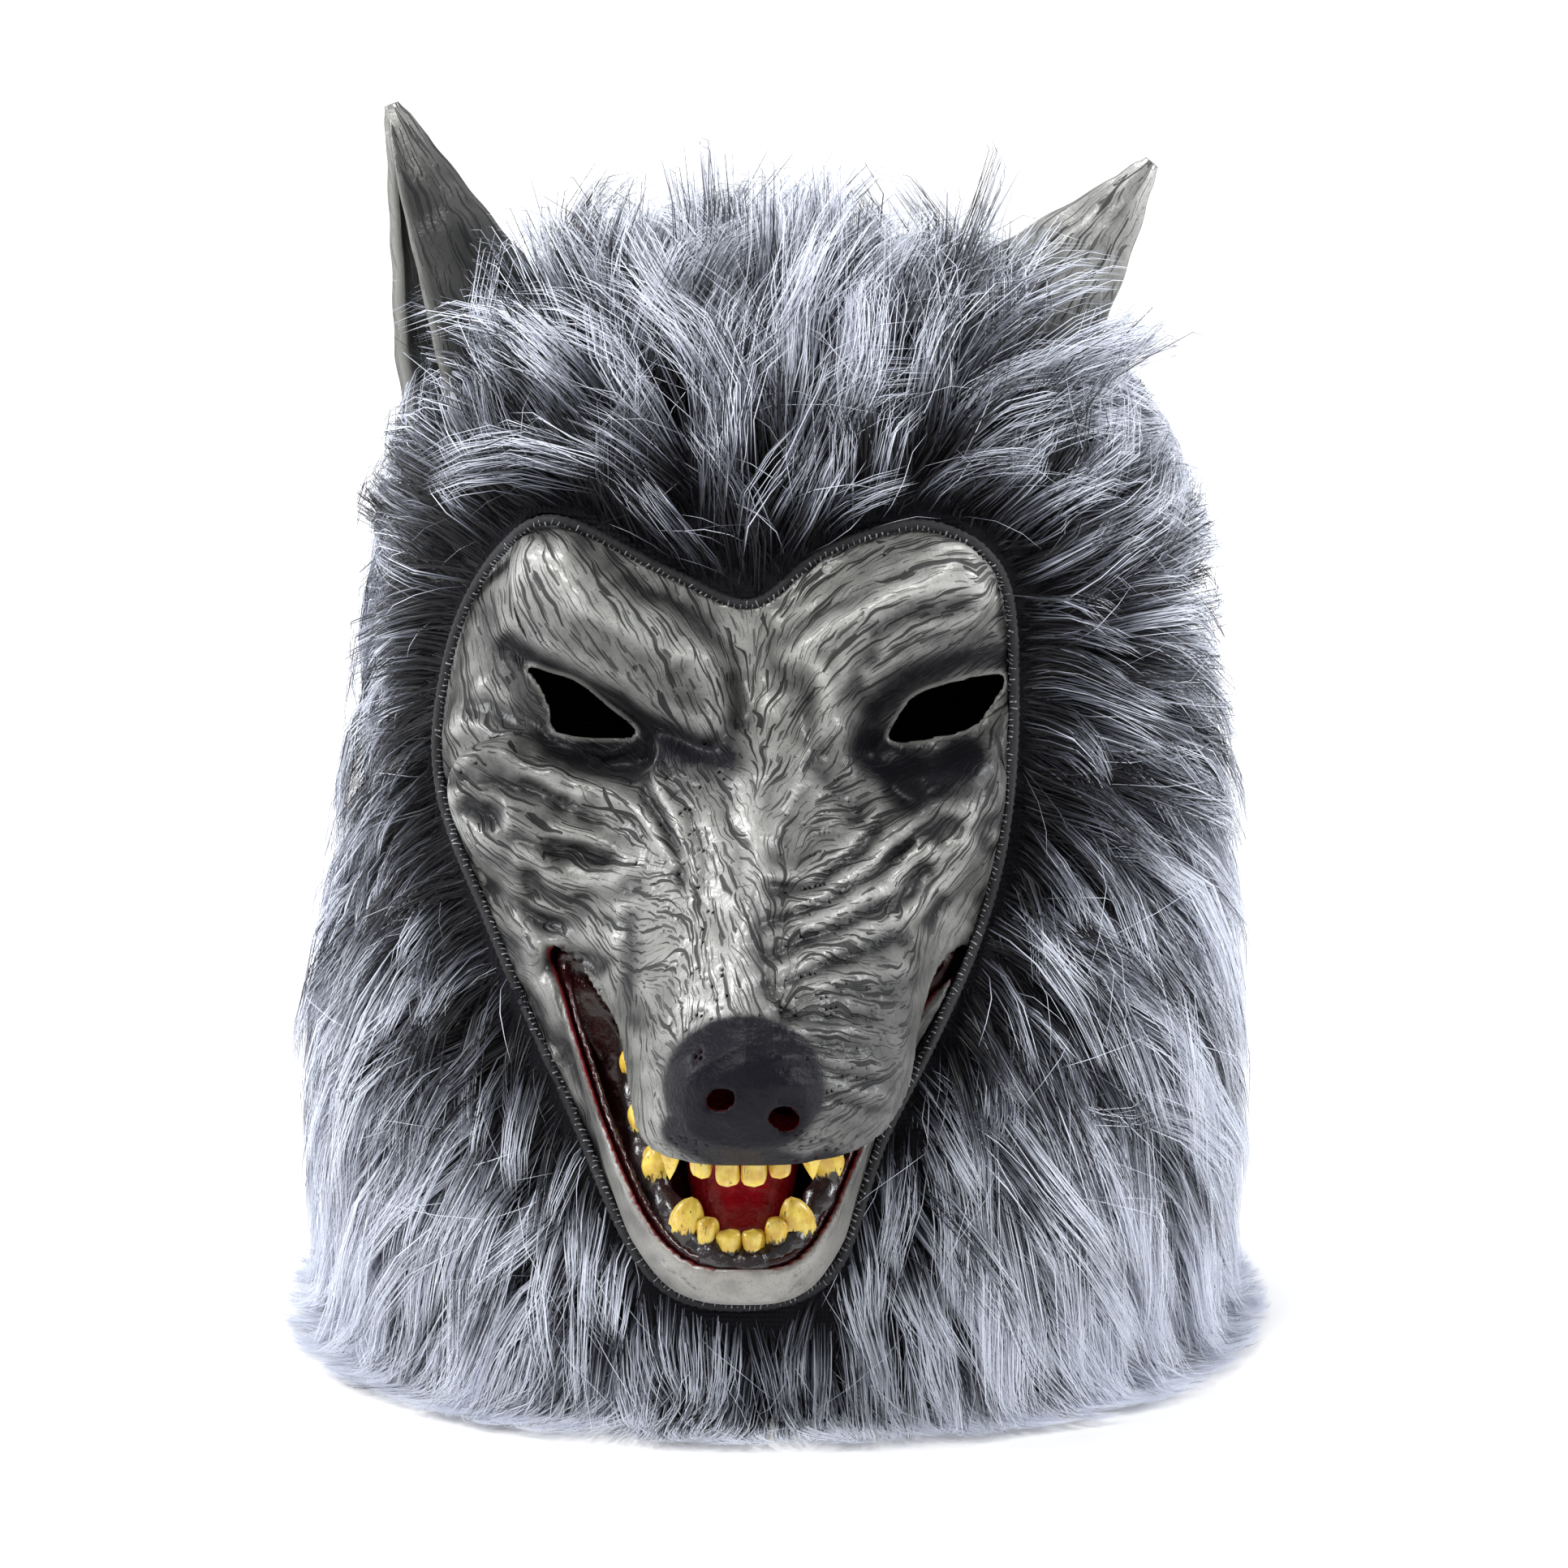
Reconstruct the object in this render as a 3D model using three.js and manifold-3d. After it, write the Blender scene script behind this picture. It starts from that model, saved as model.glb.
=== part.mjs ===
// A werewolf costume mask: a hollow moulded face with an open mouth, two moulded ears, gums,
// tongue and teeth, and a deep-pile hood whose hem stands on the table.
// Millimetres, +Z up, the face looks along -Y, and the origin is under the middle of the mask.
import * as THREE from "three";
import { mergeVertices } from "three/addons/utils/BufferGeometryUtils.js";
import Module from "manifold-3d";

const wasm = await Module();
wasm.setup();

// Hood: the cloth backing that carries the pile
const hoodHeight = 312;
const hoodHalfWidth = 120;
const hoodFront = 112;
const hoodBack = 130;
const hoodAxisY = 20;
const hoodWall = 3;
const hoodRoundness = 2.4;
const panelSeamY = 30;

// Pile: the outer form of the fur, in locks
const pileLength = 74;
const pileWidth = 60;
const pileThickness = 14;
const pileLift = 24;
const pileSink = 3;
const pileSpacing = 60;

// Face moulding
const faceWall = 2;
const faceMiddleX = -8;
const faceMiddleZ = 150;
const faceHalfWidth = 88;
const faceHalfHeight = 104;
const seamGap = 0.3;

// Muzzle, from its root in the face to the nose
const muzzleRootY = -35;
const muzzleReach = 136;
const muzzleHalfWidth = 50;
const muzzleRise = 90;
const muzzleDrop = 40;
const noseHeight = 124;

// Lower jaw
const jawRootY = -40;
const jawReach = 96;
const jawHalfWidth = 50;
const jawHeight = 100;
const jawBottomZ = 42;

// Mouth: the wedge between the upper lip and the lower lip
const mouthCornerY = -66;
const mouthCornerZ = 131;
const upperLipSlope = 23;
const lowerLipSlope = 46;
const liningWall = 1.6;
const palateRise = 13;
const throatDepth = 2;

// Gums and teeth
const archMiddleX = -9;
const lowerArchHalfWidth = 31;
const lowerArchReach = 46;
const lowerArchY = -83;
const upperArchHalfWidth = 26;
const upperArchReach = 47;
const upperArchY = -104;
const gumDepth = 3.5;
const gumThickness = 7;
const tongueHeight = 84;
const toothRadius = 4.2;
const toothLength = 11;

// Eye holes and nostrils
const eyeWidth = 34;
const eyeHeight = 13;
const nostrilRadius = 3.4;
const nostrilSpacing = 17;

// Ears
const earLength = 96;
const earWidth = 64;
const earDepth = 44;
const earWall = 2.4;
const earSeatY = 16;

// Hood sections from the hem to the crown: each column is a share of the hood size beside it.
const HOOD_SECTIONS = [
  // rise: hoodHeight, side: hoodHalfWidth, front: hoodFront, back: hoodBack
  { rise: 0, side: 1, front: 0.98, back: 1 },
  { rise: 0.13, side: 0.99, front: 1, back: 1 },
  { rise: 0.26, side: 0.975, front: 0.965, back: 1 },
  { rise: 0.385, side: 0.94, front: 0.875, back: 0.99 },
  { rise: 0.51, side: 0.9, front: 0.785, back: 0.98 },
  { rise: 0.64, side: 0.86, front: 0.73, back: 0.96 },
  { rise: 0.755, side: 0.815, front: 0.695, back: 0.905 },
  { rise: 0.84, side: 0.73, front: 0.605, back: 0.79 },
  { rise: 0.913, side: 0.58, front: 0.445, back: 0.6 },
  { rise: 0.962, side: 0.4, front: 0.28, back: 0.39 },
  { rise: 1, side: 0.12, front: 0.07, back: 0.1 },
];

// The seam between face and hood, seen from the front, clockwise from the notch between the brows.
// across is a share of faceHalfWidth and up of faceHalfHeight.
const SEAM_STATIONS = [
  { at: "notch", across: 0.02, up: 0.76 },
  { at: "right brow inner", across: 0.26, up: 0.9 },
  { at: "right brow top", across: 0.58, up: 0.97 },
  { at: "right brow outer", across: 0.8, up: 0.84 },
  { at: "right temple", across: 0.85, up: 0.5 },
  { at: "right cheek", across: 0.81, up: 0.12 },
  { at: "right cheek low", across: 0.74, up: -0.18 },
  { at: "right jaw", across: 0.52, up: -0.55 },
  { at: "right chin", across: 0.3, up: -0.98 },
  { at: "chin", across: 0.05, up: -1.1 },
  { at: "left chin", across: -0.26, up: -1.03 },
  { at: "left jaw", across: -0.56, up: -0.58 },
  { at: "left cheek low", across: -0.82, up: -0.14 },
  { at: "left cheek", across: -1, up: 0.22 },
  { at: "left temple", across: -0.95, up: 0.6 },
  { at: "left brow outer", across: -0.78, up: 0.88 },
  { at: "left brow top", across: -0.6, up: 0.98 },
  { at: "left brow inner", across: -0.24, up: 0.84 },
];

// Muzzle sections from the root to the nose. reach: muzzleReach, left and right: muzzleHalfWidth,
// roof: muzzleRise above the nose, floor: muzzleDrop below it.
const MUZZLE_SECTIONS = [
  { reach: 0, left: 1.16, right: 1.3, roof: 0.98, floor: 0 },
  { reach: 0.17, left: 1, right: 1.16, roof: 0.9, floor: 0.2 },
  { reach: 0.33, left: 0.84, right: 1.04, roof: 0.76, floor: 0.5 },
  { reach: 0.49, left: 0.72, right: 0.97, roof: 0.59, floor: 0.8 },
  { reach: 0.654, left: 0.64, right: 0.9, roof: 0.42, floor: 0.95 },
  { reach: 0.787, left: 0.59, right: 0.78, roof: 0.29, floor: 0.98 },
  { reach: 0.88, left: 0.48, right: 0.56, roof: 0.17, floor: 0.72 },
  { reach: 0.956, left: 0.3, right: 0.34, roof: 0.07, floor: 0.5 },
  { reach: 0.99, left: 0.14, right: 0.16, roof: 0.005, floor: 0.28 },
];
const MUZZLE_RIDGE = 1.75;
const MUZZLE_LIPS = 2.5;

// Jaw sections from the chin up. rise: jawHeight, left and right: jawHalfWidth, front: jawReach.
const JAW_SECTIONS = [
  { rise: 0, left: 0.34, right: 0.3, front: 0.8 },
  { rise: 0.06, left: 0.58, right: 0.5, front: 0.93 },
  { rise: 0.16, left: 0.72, right: 0.62, front: 0.99 },
  { rise: 0.3, left: 0.82, right: 0.7, front: 1 },
  { rise: 0.5, left: 0.95, right: 0.82, front: 0.97 },
  { rise: 0.73, left: 1.1, right: 0.97, front: 0.9 },
  { rise: 1, left: 1.2, right: 1.1, front: 0.8 },
];

// Bulges of the face, seen from the front. across and up as in the seam; long and wide are shares
// of faceHalfWidth, deep of wide; out is how far the middle stands proud, as a share of deep.
const FACE_LOBES = [
  { at: "left brow", across: -0.4, up: 0.67, long: 0.45, wide: 0.25, deep: 0.85, out: -0.36, tilt: -46 },
  { at: "right brow", across: 0.42, up: 0.69, long: 0.45, wide: 0.24, deep: 0.85, out: -0.36, tilt: 38 },
  { at: "left cheek", across: -0.56, up: 0.1, long: 0.46, wide: 0.26, deep: 0.9, out: -0.3, tilt: -35 },
  { at: "right cheek", across: 0.5, up: 0.1, long: 0.42, wide: 0.25, deep: 0.9, out: -0.3, tilt: 45 },
];

// Folds in the skin: ridges between two points, seen from the front, their thickness in mm.
const FACE_FOLDS = [
  { at: "left frown", x1: -28, z1: 224, x2: -19, z2: 192, wide: 7 },
  { at: "right frown", x1: 14, z1: 222, x2: 13, z2: 196, wide: 6 },
  { at: "left eyelid", x1: -72, z1: 190, x2: -38, z2: 181, wide: 4.5 },
  { at: "right eyelid", x1: 30, z1: 184, x2: 62, z2: 190, wide: 4.5 },
  { at: "left flank upper", x1: -40, z1: 180, x2: -32, z2: 146, wide: 5 },
  { at: "left flank lower", x1: -30, z1: 160, x2: -30, z2: 128, wide: 4.5 },
  { at: "left cheek upper", x1: -86, z1: 178, x2: -52, z2: 166, wide: 5 },
  { at: "left cheek lower", x1: -80, z1: 162, x2: -50, z2: 154, wide: 4.5 },
  { at: "right flank upper", x1: 8, z1: 156, x2: 36, z2: 172, wide: 4.5 },
  { at: "right flank middle", x1: 8, z1: 143, x2: 40, z2: 158, wide: 4.5 },
  { at: "right flank lower", x1: 10, z1: 131, x2: 38, z2: 141, wide: 4.5 },
  { at: "right cheek", x1: 46, z1: 152, x2: 58, z2: 176, wide: 5 },
];

// The black nose pad: an ellipsoid on the muzzle's end. Its radii are shares of muzzleHalfWidth.
const NOSE_PAD = { across: 0.38, deep: 0.3, up: 0.33, reach: 0.885, drop: 0.06 };

// Eye holes: where they are on the face, and how they slant.
const EYES = [
  { at: "left", across: -0.52, up: 0.46, tilt: -20 },
  { at: "right", across: 0.62, up: 0.47, tilt: 20 },
];

// Teeth of one side, from the middle of the arch to the back. turn is the angle round the arch
// from its middle, wide and long are shares of toothRadius and toothLength.
const UPPER_TEETH = [
  { name: "upper_incisor_inner", turn: 8, wide: 0.75, long: 0.95 },
  { name: "upper_incisor_outer", turn: 24, wide: 0.78, long: 0.98 },
  { name: "upper_canine", turn: 46, wide: 1.2, long: 1.75 },
  { name: "upper_premolar", turn: 70, wide: 0.8, long: 0.85 },
];
const LOWER_TEETH = [
  { name: "lower_incisor_inner", turn: 6, wide: 0.72, long: 0.6 },
  { name: "lower_incisor_outer", turn: 18, wide: 0.74, long: 0.66 },
  { name: "lower_canine", turn: 33, wide: 1.15, long: 1.45 },
  { name: "lower_premolar", turn: 50, wide: 0.95, long: 0.95 },
  { name: "lower_molar_front", turn: 65, wide: 0.95, long: 0.9 },
  { name: "lower_molar_back", turn: 80, wide: 1, long: 0.95 },
];

// Each ear: lean is how far it tips outwards, opening the way its open side faces (degrees from +X,
// anticlockwise), and length and width are shares of earLength and earWidth.
const EARS = [
  { name: "left_ear", seatX: -78, seatZ: 272, lean: -20, opening: 200, length: 1, width: 1 },
  { name: "right_ear", seatX: 50, seatZ: 270, lean: 38, opening: 10, length: 1, width: 1.08 },
];
// Ear sections from the seat to the tip: rise is a share of earLength, wide of earWidth, deep of
// earDepth.
const EAR_SECTIONS = [
  { rise: 0, wide: 1, deep: 1 },
  { rise: 0.25, wide: 0.86, deep: 0.9 },
  { rise: 0.5, wide: 0.6, deep: 0.72 },
  { rise: 0.7, wide: 0.4, deep: 0.52 },
  { rise: 0.87, wide: 0.22, deep: 0.34 },
  { rise: 0.96, wide: 0.13, deep: 0.22 },
  { rise: 1, wide: 0.07, deep: 0.12 },
];
const EAR_ARC = 270;

// One lock of pile from root to point: shares of pileLength, pileWidth, pileThickness and pileLift.
const LOCK_SECTIONS = [
  { along: -0.15, wide: 0.6, thick: 0.6, lift: -0.05 },
  { along: 0.28, wide: 1, thick: 1, lift: 0.25 },
  { along: 0.68, wide: 0.72, thick: 0.8, lift: 0.62 },
  { along: 1, wide: 0.1, thick: 0.12, lift: 0.84 },
];
// Where the rows of locks are rooted, as shares of hoodHeight.
const PILE_ROWS = [0.12, 0.26, 0.4, 0.54, 0.67, 0.79, 0.89, 0.97];

const FAR = 400;
const radians = THREE.MathUtils.degToRad;

// A closed geometry as a manifold-3d solid.
function solidOf(geometry) {
  const bare = geometry.index ? geometry.toNonIndexed() : geometry.clone();
  bare.deleteAttribute("normal");
  bare.deleteAttribute("uv");
  const merged = mergeVertices(bare, 1e-4);
  return new wasm.Manifold(
    new wasm.Mesh({
      numProp: 3,
      vertProperties: merged.attributes.position.array,
      triVerts: new Uint32Array(merged.index.array),
    }),
  );
}

// A solid's surface as a three.js geometry.
function geometryOf(solid) {
  const mesh = solid.getMesh();
  const geometry = new THREE.BufferGeometry();
  geometry.setAttribute("position", new THREE.BufferAttribute(mesh.vertProperties, 3));
  geometry.setIndex(new THREE.BufferAttribute(mesh.triVerts, 1));
  geometry.computeVertexNormals();
  return geometry;
}

// The largest body of a solid, without the crumbs that a cut leaves.
function largestBody(solid) {
  return solid.decompose().reduce((best, body) => (body.volume() > best.volume() ? body : best));
}

// Joins rings of equal length into a closed body, with a fan over each end. The rings turn
// anticlockwise about the way they follow one another.
function loft(rings) {
  const count = rings[0].length;
  const points = rings.flat();
  const middle = (ring) =>
    ring.reduce((sum, point) => sum.add(point), new THREE.Vector3()).divideScalar(count);
  points.push(middle(rings[0]), middle(rings[rings.length - 1]));
  const index = [];
  for (let r = 0; r + 1 < rings.length; r += 1) {
    for (let i = 0; i < count; i += 1) {
      const a = r * count + i;
      const b = r * count + ((i + 1) % count);
      index.push(a, b, b + count, a, b + count, a + count);
    }
  }
  const last = (rings.length - 1) * count;
  for (let i = 0; i < count; i += 1) {
    const next = (i + 1) % count;
    index.push(points.length - 2, next, i);
    index.push(points.length - 1, last + i, last + next);
  }
  const geometry = new THREE.BufferGeometry().setFromPoints(points);
  geometry.setIndex(index);
  return geometry;
}

// The same for rings that run out and back, such as a C: each end is closed by a strip between
// the two halves.
function stripLoft(rings) {
  const count = rings[0].length;
  const half = count / 2;
  const index = [];
  for (let r = 0; r + 1 < rings.length; r += 1) {
    for (let i = 0; i < count; i += 1) {
      const a = r * count + i;
      const b = r * count + ((i + 1) % count);
      index.push(a, b, b + count, a, b + count, a + count);
    }
  }
  const last = (rings.length - 1) * count;
  for (let i = 0; i + 1 < half; i += 1) {
    const back = count - 1 - i;
    index.push(i, back, i + 1, i + 1, back, back - 1);
    index.push(last + i, last + i + 1, last + back, last + i + 1, last + back - 1, last + back);
  }
  const geometry = new THREE.BufferGeometry().setFromPoints(rings.flat());
  geometry.setIndex(index);
  return geometry;
}

const signedPower = (value, power) => Math.sign(value) * Math.abs(value) ** power;

// A closed superellipse with its own extent on each side: points (a, b) round its middle.
// The half on the far side may have a roundness of its own.
function roundedLoop(count, roundness, right, far, left, near, farRoundness = roundness) {
  return Array.from({ length: count }, (_, i) => {
    const angle = (2 * Math.PI * i) / count;
    const power = 2 / (Math.sin(angle) > 0 ? farRoundness : roundness);
    const c = signedPower(Math.cos(angle), power);
    const s = signedPower(Math.sin(angle), power);
    return [c * (c > 0 ? right : left), s * (s > 0 ? far : near)];
  });
}

// One hood size at a height, read smoothly from the section table.
const hoodCurves = Object.fromEntries(
  ["side", "front", "back"].map((key) => [
    key,
    new THREE.SplineCurve(HOOD_SECTIONS.map((row) => new THREE.Vector2(row.rise, row[key]))),
  ]),
);
function hoodShare(key, z) {
  const rise = THREE.MathUtils.clamp(z / hoodHeight, 0, 1);
  const last = HOOD_SECTIONS.length - 1;
  const span = Math.min(
    last - 1,
    HOOD_SECTIONS.findLastIndex((row) => row.rise <= rise),
  );
  const low = HOOD_SECTIONS[span].rise;
  const within = (rise - low) / (HOOD_SECTIONS[span + 1].rise - low);
  return hoodCurves[key].getPoint((span + within) / last).y;
}

// The hood's extents at a height: half width, and how far the front and the back lie from its axis.
function hoodExtents(z, inset = 0) {
  return {
    side: Math.max(hoodShare("side", z) * hoodHalfWidth - inset, 1),
    front: Math.max(hoodShare("front", z) * hoodFront - inset, 1),
    back: Math.max(hoodShare("back", z) * hoodBack - inset, 1),
  };
}

// The front surface of the hood: its y at a point seen from the front.
function hoodFrontY(x, z) {
  const { side, front } = hoodExtents(z);
  const share = Math.min(Math.abs(x) / side, 0.999);
  return hoodAxisY - front * (1 - share ** hoodRoundness) ** (1 / hoodRoundness);
}

// The hood's form as a solid, made smaller all round by inset. below carries it under the hem.
function headForm(inset, below = 0, count = 24) {
  const heights = HOOD_SECTIONS.map((row) => row.rise * hoodHeight);
  heights[0] = -below;
  heights[heights.length - 1] -= inset;
  const rings = heights.map((z) => {
    const { side, front, back } = hoodExtents(z, inset);
    return roundedLoop(count, hoodRoundness, side, back, side, front).map(
      ([x, y]) => new THREE.Vector3(x, hoodAxisY + y, z),
    );
  });
  return solidOf(loft(rings));
}

const faceX = (across) => faceMiddleX + across * faceHalfWidth;
const faceZ = (up) => faceMiddleZ + up * faceHalfHeight;

// Everything in front of the head that lies inside the seam line, grown by a gap.
function seamPrism(gap) {
  const corners = SEAM_STATIONS.map(
    ({ across, up }) => new THREE.Vector3(faceX(across), faceZ(up), 0),
  );
  const line = new THREE.CatmullRomCurve3(corners, true).getPoints(corners.length * 3);
  line.pop();
  const shape = new THREE.Shape(
    line.map((point, i) => {
      const before = line[(i + line.length - 1) % line.length];
      const after = line[(i + 1) % line.length];
      const along = after.clone().sub(before).normalize();
      return new THREE.Vector2(point.x - along.y * gap, point.y + along.x * gap);
    }),
  );
  const prism = new THREE.ExtrudeGeometry(shape, { depth: FAR, bevelEnabled: false });
  prism.rotateX(Math.PI / 2);
  prism.translate(0, hoodAxisY, 0);
  return solidOf(prism);
}

// A solid half space, cut off by a plane through (y, z) that slopes down towards the front.
// With slope 0 it is everything below z.
function belowPlane(y, z, slopeDegrees) {
  const block = new THREE.BoxGeometry(2 * FAR, 2 * FAR, FAR);
  block.translate(0, 0, -FAR / 2);
  block.rotateX(radians(slopeDegrees));
  block.translate(0, y, z);
  return solidOf(block);
}

// A solid half space in front of y.
function inFrontOf(y) {
  const block = new THREE.BoxGeometry(2 * FAR, FAR, 2 * FAR);
  block.translate(0, y - FAR / 2, 0);
  return solidOf(block);
}

// The muzzle's form: upright sections from the root to the nose.
function muzzleForm(inset) {
  const rings = MUZZLE_SECTIONS.map((row, i) => {
    const end = i === MUZZLE_SECTIONS.length - 1 ? inset : 0;
    const raise = inset > 0 && row.reach < 0.85 ? -muzzleDrop / 4 : inset;
    const roof = noseHeight + row.roof * muzzleRise - inset;
    const floor = noseHeight - row.floor * muzzleDrop + raise;
    const widest = floor + (roof - floor) * 0.28;
    const y = muzzleRootY - row.reach * muzzleReach + end;
    const right = Math.max(row.right * muzzleHalfWidth - inset, 1);
    const left = Math.max(row.left * muzzleHalfWidth - inset, 1);
    return roundedLoop(16, MUZZLE_LIPS, right, roof - widest, left, widest - floor, MUZZLE_RIDGE).map(
      ([x, z]) => new THREE.Vector3(faceMiddleX + x, y, widest + z),
    );
  });
  return solidOf(loft(rings));
}

// The front surface of the face: its y at a point seen from the front, on the muzzle or the head.
function faceFrontY(x, z) {
  let front = hoodFrontY(x, z);
  for (let i = 0; i + 1 < MUZZLE_SECTIONS.length; i += 1) {
    for (const share of [0, 0.25, 0.5, 0.75]) {
      const mix = (key) =>
        THREE.MathUtils.lerp(MUZZLE_SECTIONS[i][key], MUZZLE_SECTIONS[i + 1][key], share);
      const floor = noseHeight - mix("floor") * muzzleDrop;
      const roof = noseHeight + mix("roof") * muzzleRise;
      const widest = floor + (roof - floor) * 0.28;
      const a = Math.abs(x - faceMiddleX) / (mix(x > faceMiddleX ? "right" : "left") * muzzleHalfWidth);
      const b = Math.max(z - widest, 0) / (roof - widest);
      if (a ** MUZZLE_RIDGE + b ** MUZZLE_RIDGE < 1 && z > floor)
        front = Math.min(front, muzzleRootY - mix("reach") * muzzleReach);
    }
  }
  return front;
}

// The jaw's form: level sections from the chin up.
function jawForm(inset) {
  const rings = JAW_SECTIONS.map((row, i) => {
    const z = jawBottomZ + row.rise * jawHeight + (i === 0 ? inset : 0);
    const right = row.right * jawHalfWidth - inset;
    const left = row.left * jawHalfWidth - inset;
    return roundedLoop(16, 3, right, FAR / 8, left, row.front * jawReach - inset).map(
      ([x, y]) => new THREE.Vector3(faceMiddleX + x, jawRootY + y, z),
    );
  });
  return solidOf(loft(rings));
}

// The face's bulges, as ellipsoids set into the hood's front surface.
function lobeForms(inset) {
  return FACE_LOBES.map((row) => {
    const x = faceX(row.across);
    const z = faceZ(row.up);
    const wide = row.wide * faceHalfWidth;
    const deep = row.deep * wide;
    const lobe = new THREE.SphereGeometry(1, 10, 7);
    lobe.scale(row.long * faceHalfWidth - inset, deep - inset, wide - inset);
    lobe.rotateY(-radians(row.tilt));
    lobe.translate(x, hoodFrontY(x, z) - row.out * deep, z);
    return solidOf(lobe);
  });
}

// The folds of the skin, as slender ridges that lie in the face's outer surface.
function foldForms() {
  return FACE_FOLDS.map(({ x1, z1, x2, z2, wide }) => {
    const sink = 0.35 * wide;
    const from = new THREE.Vector3(x1, faceFrontY(x1, z1) + sink, z1);
    const to = new THREE.Vector3(x2, faceFrontY(x2, z2) + sink, z2);
    const ridge = new THREE.SphereGeometry(1, 6, 5);
    ridge.scale(wide, wide, from.distanceTo(to) / 2 + wide);
    ridge.applyQuaternion(
      new THREE.Quaternion().setFromUnitVectors(
        new THREE.Vector3(0, 0, 1),
        to.clone().sub(from).normalize(),
      ),
    );
    const middle = from.add(to).multiplyScalar(0.5);
    ridge.translate(middle.x, middle.y, middle.z);
    return solidOf(ridge);
  });
}

function nosePadForm(inset) {
  const pad = new THREE.SphereGeometry(1, 12, 8);
  const [across, deep, up] = [NOSE_PAD.across, NOSE_PAD.deep, NOSE_PAD.up];
  pad.scale(across * muzzleHalfWidth - inset, deep * muzzleHalfWidth - inset, up * muzzleHalfWidth - inset);
  const y = muzzleRootY - NOSE_PAD.reach * muzzleReach;
  pad.translate(faceMiddleX, y, noseHeight - NOSE_PAD.drop * muzzleRise);
  return solidOf(pad);
}

// The whole front of the head, solid, made smaller by inset.
function faceForm(inset) {
  const forms = [headForm(inset, inset), muzzleForm(inset), jawForm(inset), nosePadForm(inset)];
  return wasm.Manifold.union([...forms, ...lobeForms(inset)]);
}

// The open mouth: everything in front of the corners between the two lip planes.
function mouthWedge() {
  return belowPlane(mouthCornerY, mouthCornerZ, upperLipSlope)
    .subtract(belowPlane(mouthCornerY, mouthCornerZ, lowerLipSlope))
    .intersect(inFrontOf(mouthCornerY));
}

function eyeHole({ across, up, tilt }) {
  const almond = new THREE.Shape();
  almond.moveTo(-eyeWidth / 2, 0);
  almond.quadraticCurveTo(0, eyeHeight, eyeWidth / 2, 0);
  almond.quadraticCurveTo(0, -eyeHeight, -eyeWidth / 2, 0);
  const hole = new THREE.ExtrudeGeometry(almond, {
    depth: FAR / 4,
    bevelEnabled: false,
    curveSegments: 6,
  });
  hole.translate(0, 0, -FAR / 8);
  hole.rotateZ(radians(tilt));
  hole.rotateX(Math.PI / 2);
  hole.translate(faceX(across), hoodFrontY(faceX(across), faceZ(up)), faceZ(up));
  return solidOf(hole);
}

function nostril(side) {
  const depth = muzzleReach * 0.2;
  const hole = new THREE.CylinderGeometry(nostrilRadius, nostrilRadius, depth, 10);
  const y = muzzleRootY - NOSE_PAD.reach * muzzleReach - depth / 2;
  hole.translate(
    faceMiddleX + (side * nostrilSpacing) / 2,
    y - faceWall,
    noseHeight - 0.5 * NOSE_PAD.up * muzzleHalfWidth,
  );
  return solidOf(hole);
}

// The moulded face: a shell of one wall thickness with eye holes, nostrils and an open mouth.
function faceMoulding() {
  return largestBody(
    wasm.Manifold.union([faceForm(0), ...foldForms()])
      .subtract(faceForm(faceWall))
      .subtract(mouthWedge())
      .intersect(seamPrism(0))
      .subtract(wasm.Manifold.union(EYES.map(eyeHole)))
      .subtract(wasm.Manifold.union([-1, 1].map(nostril))),
  );
}

// The mouth's lining: a cup behind the lips, closed by a palate above and a throat behind.
function liningForm(inset) {
  const depth = faceWall + seamGap + inset;
  const palate = belowPlane(mouthCornerY, mouthCornerZ + palateRise - inset, upperLipSlope);
  return wasm.Manifold.union([muzzleForm(depth), jawForm(depth), nosePadForm(depth)])
    .intersect(seamPrism(-faceWall - inset))
    .intersect(palate)
    .intersect(inFrontOf(mouthCornerY + throatDepth - inset));
}

function mouthLining() {
  return liningForm(0).subtract(liningForm(liningWall)).subtract(mouthWedge());
}

// The free space inside the lining, where gums, teeth and tongue are.
const mouthSpace = liningForm(liningWall + seamGap);
// Where a tooth may be: in that space, and out in the open between the lips.
const toothSpace = mouthSpace.add(mouthWedge());

// A point of a tooth arch: turn is measured from its middle, towards the back of one side.
function archPoint(arch, side, turn) {
  return new THREE.Vector2(
    archMiddleX + side * arch.halfWidth * Math.sin(radians(turn)),
    arch.y - arch.reach * Math.cos(radians(turn)),
  );
}

// The gum: a ledge along the lining's wall, parallel to the lip, open inside the tooth arch.
function gum(arch) {
  const slab = (depth) =>
    belowPlane(mouthCornerY, mouthCornerZ + arch.above * depth, arch.slope);
  const [near, far] = [slab(gumDepth), slab(gumDepth + gumThickness)];
  const inner = new THREE.Shape();
  const halfWidth = arch.halfWidth - toothRadius;
  inner.moveTo(halfWidth, FAR);
  inner.lineTo(-halfWidth, FAR);
  inner.lineTo(-halfWidth, 0);
  inner.absellipse(0, 0, halfWidth, arch.reach - toothRadius, Math.PI, 2 * Math.PI);
  const hollow = new THREE.ExtrudeGeometry(inner, {
    depth: FAR,
    bevelEnabled: false,
    curveSegments: 10,
  });
  hollow.translate(archMiddleX, arch.y, 0);
  const ledge = arch.above > 0 ? far.subtract(near) : near.subtract(far);
  return largestBody(
    ledge.subtract(solidOf(hollow)).intersect(mouthSpace).intersect(inFrontOf(arch.y + 2)),
  );
}

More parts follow.
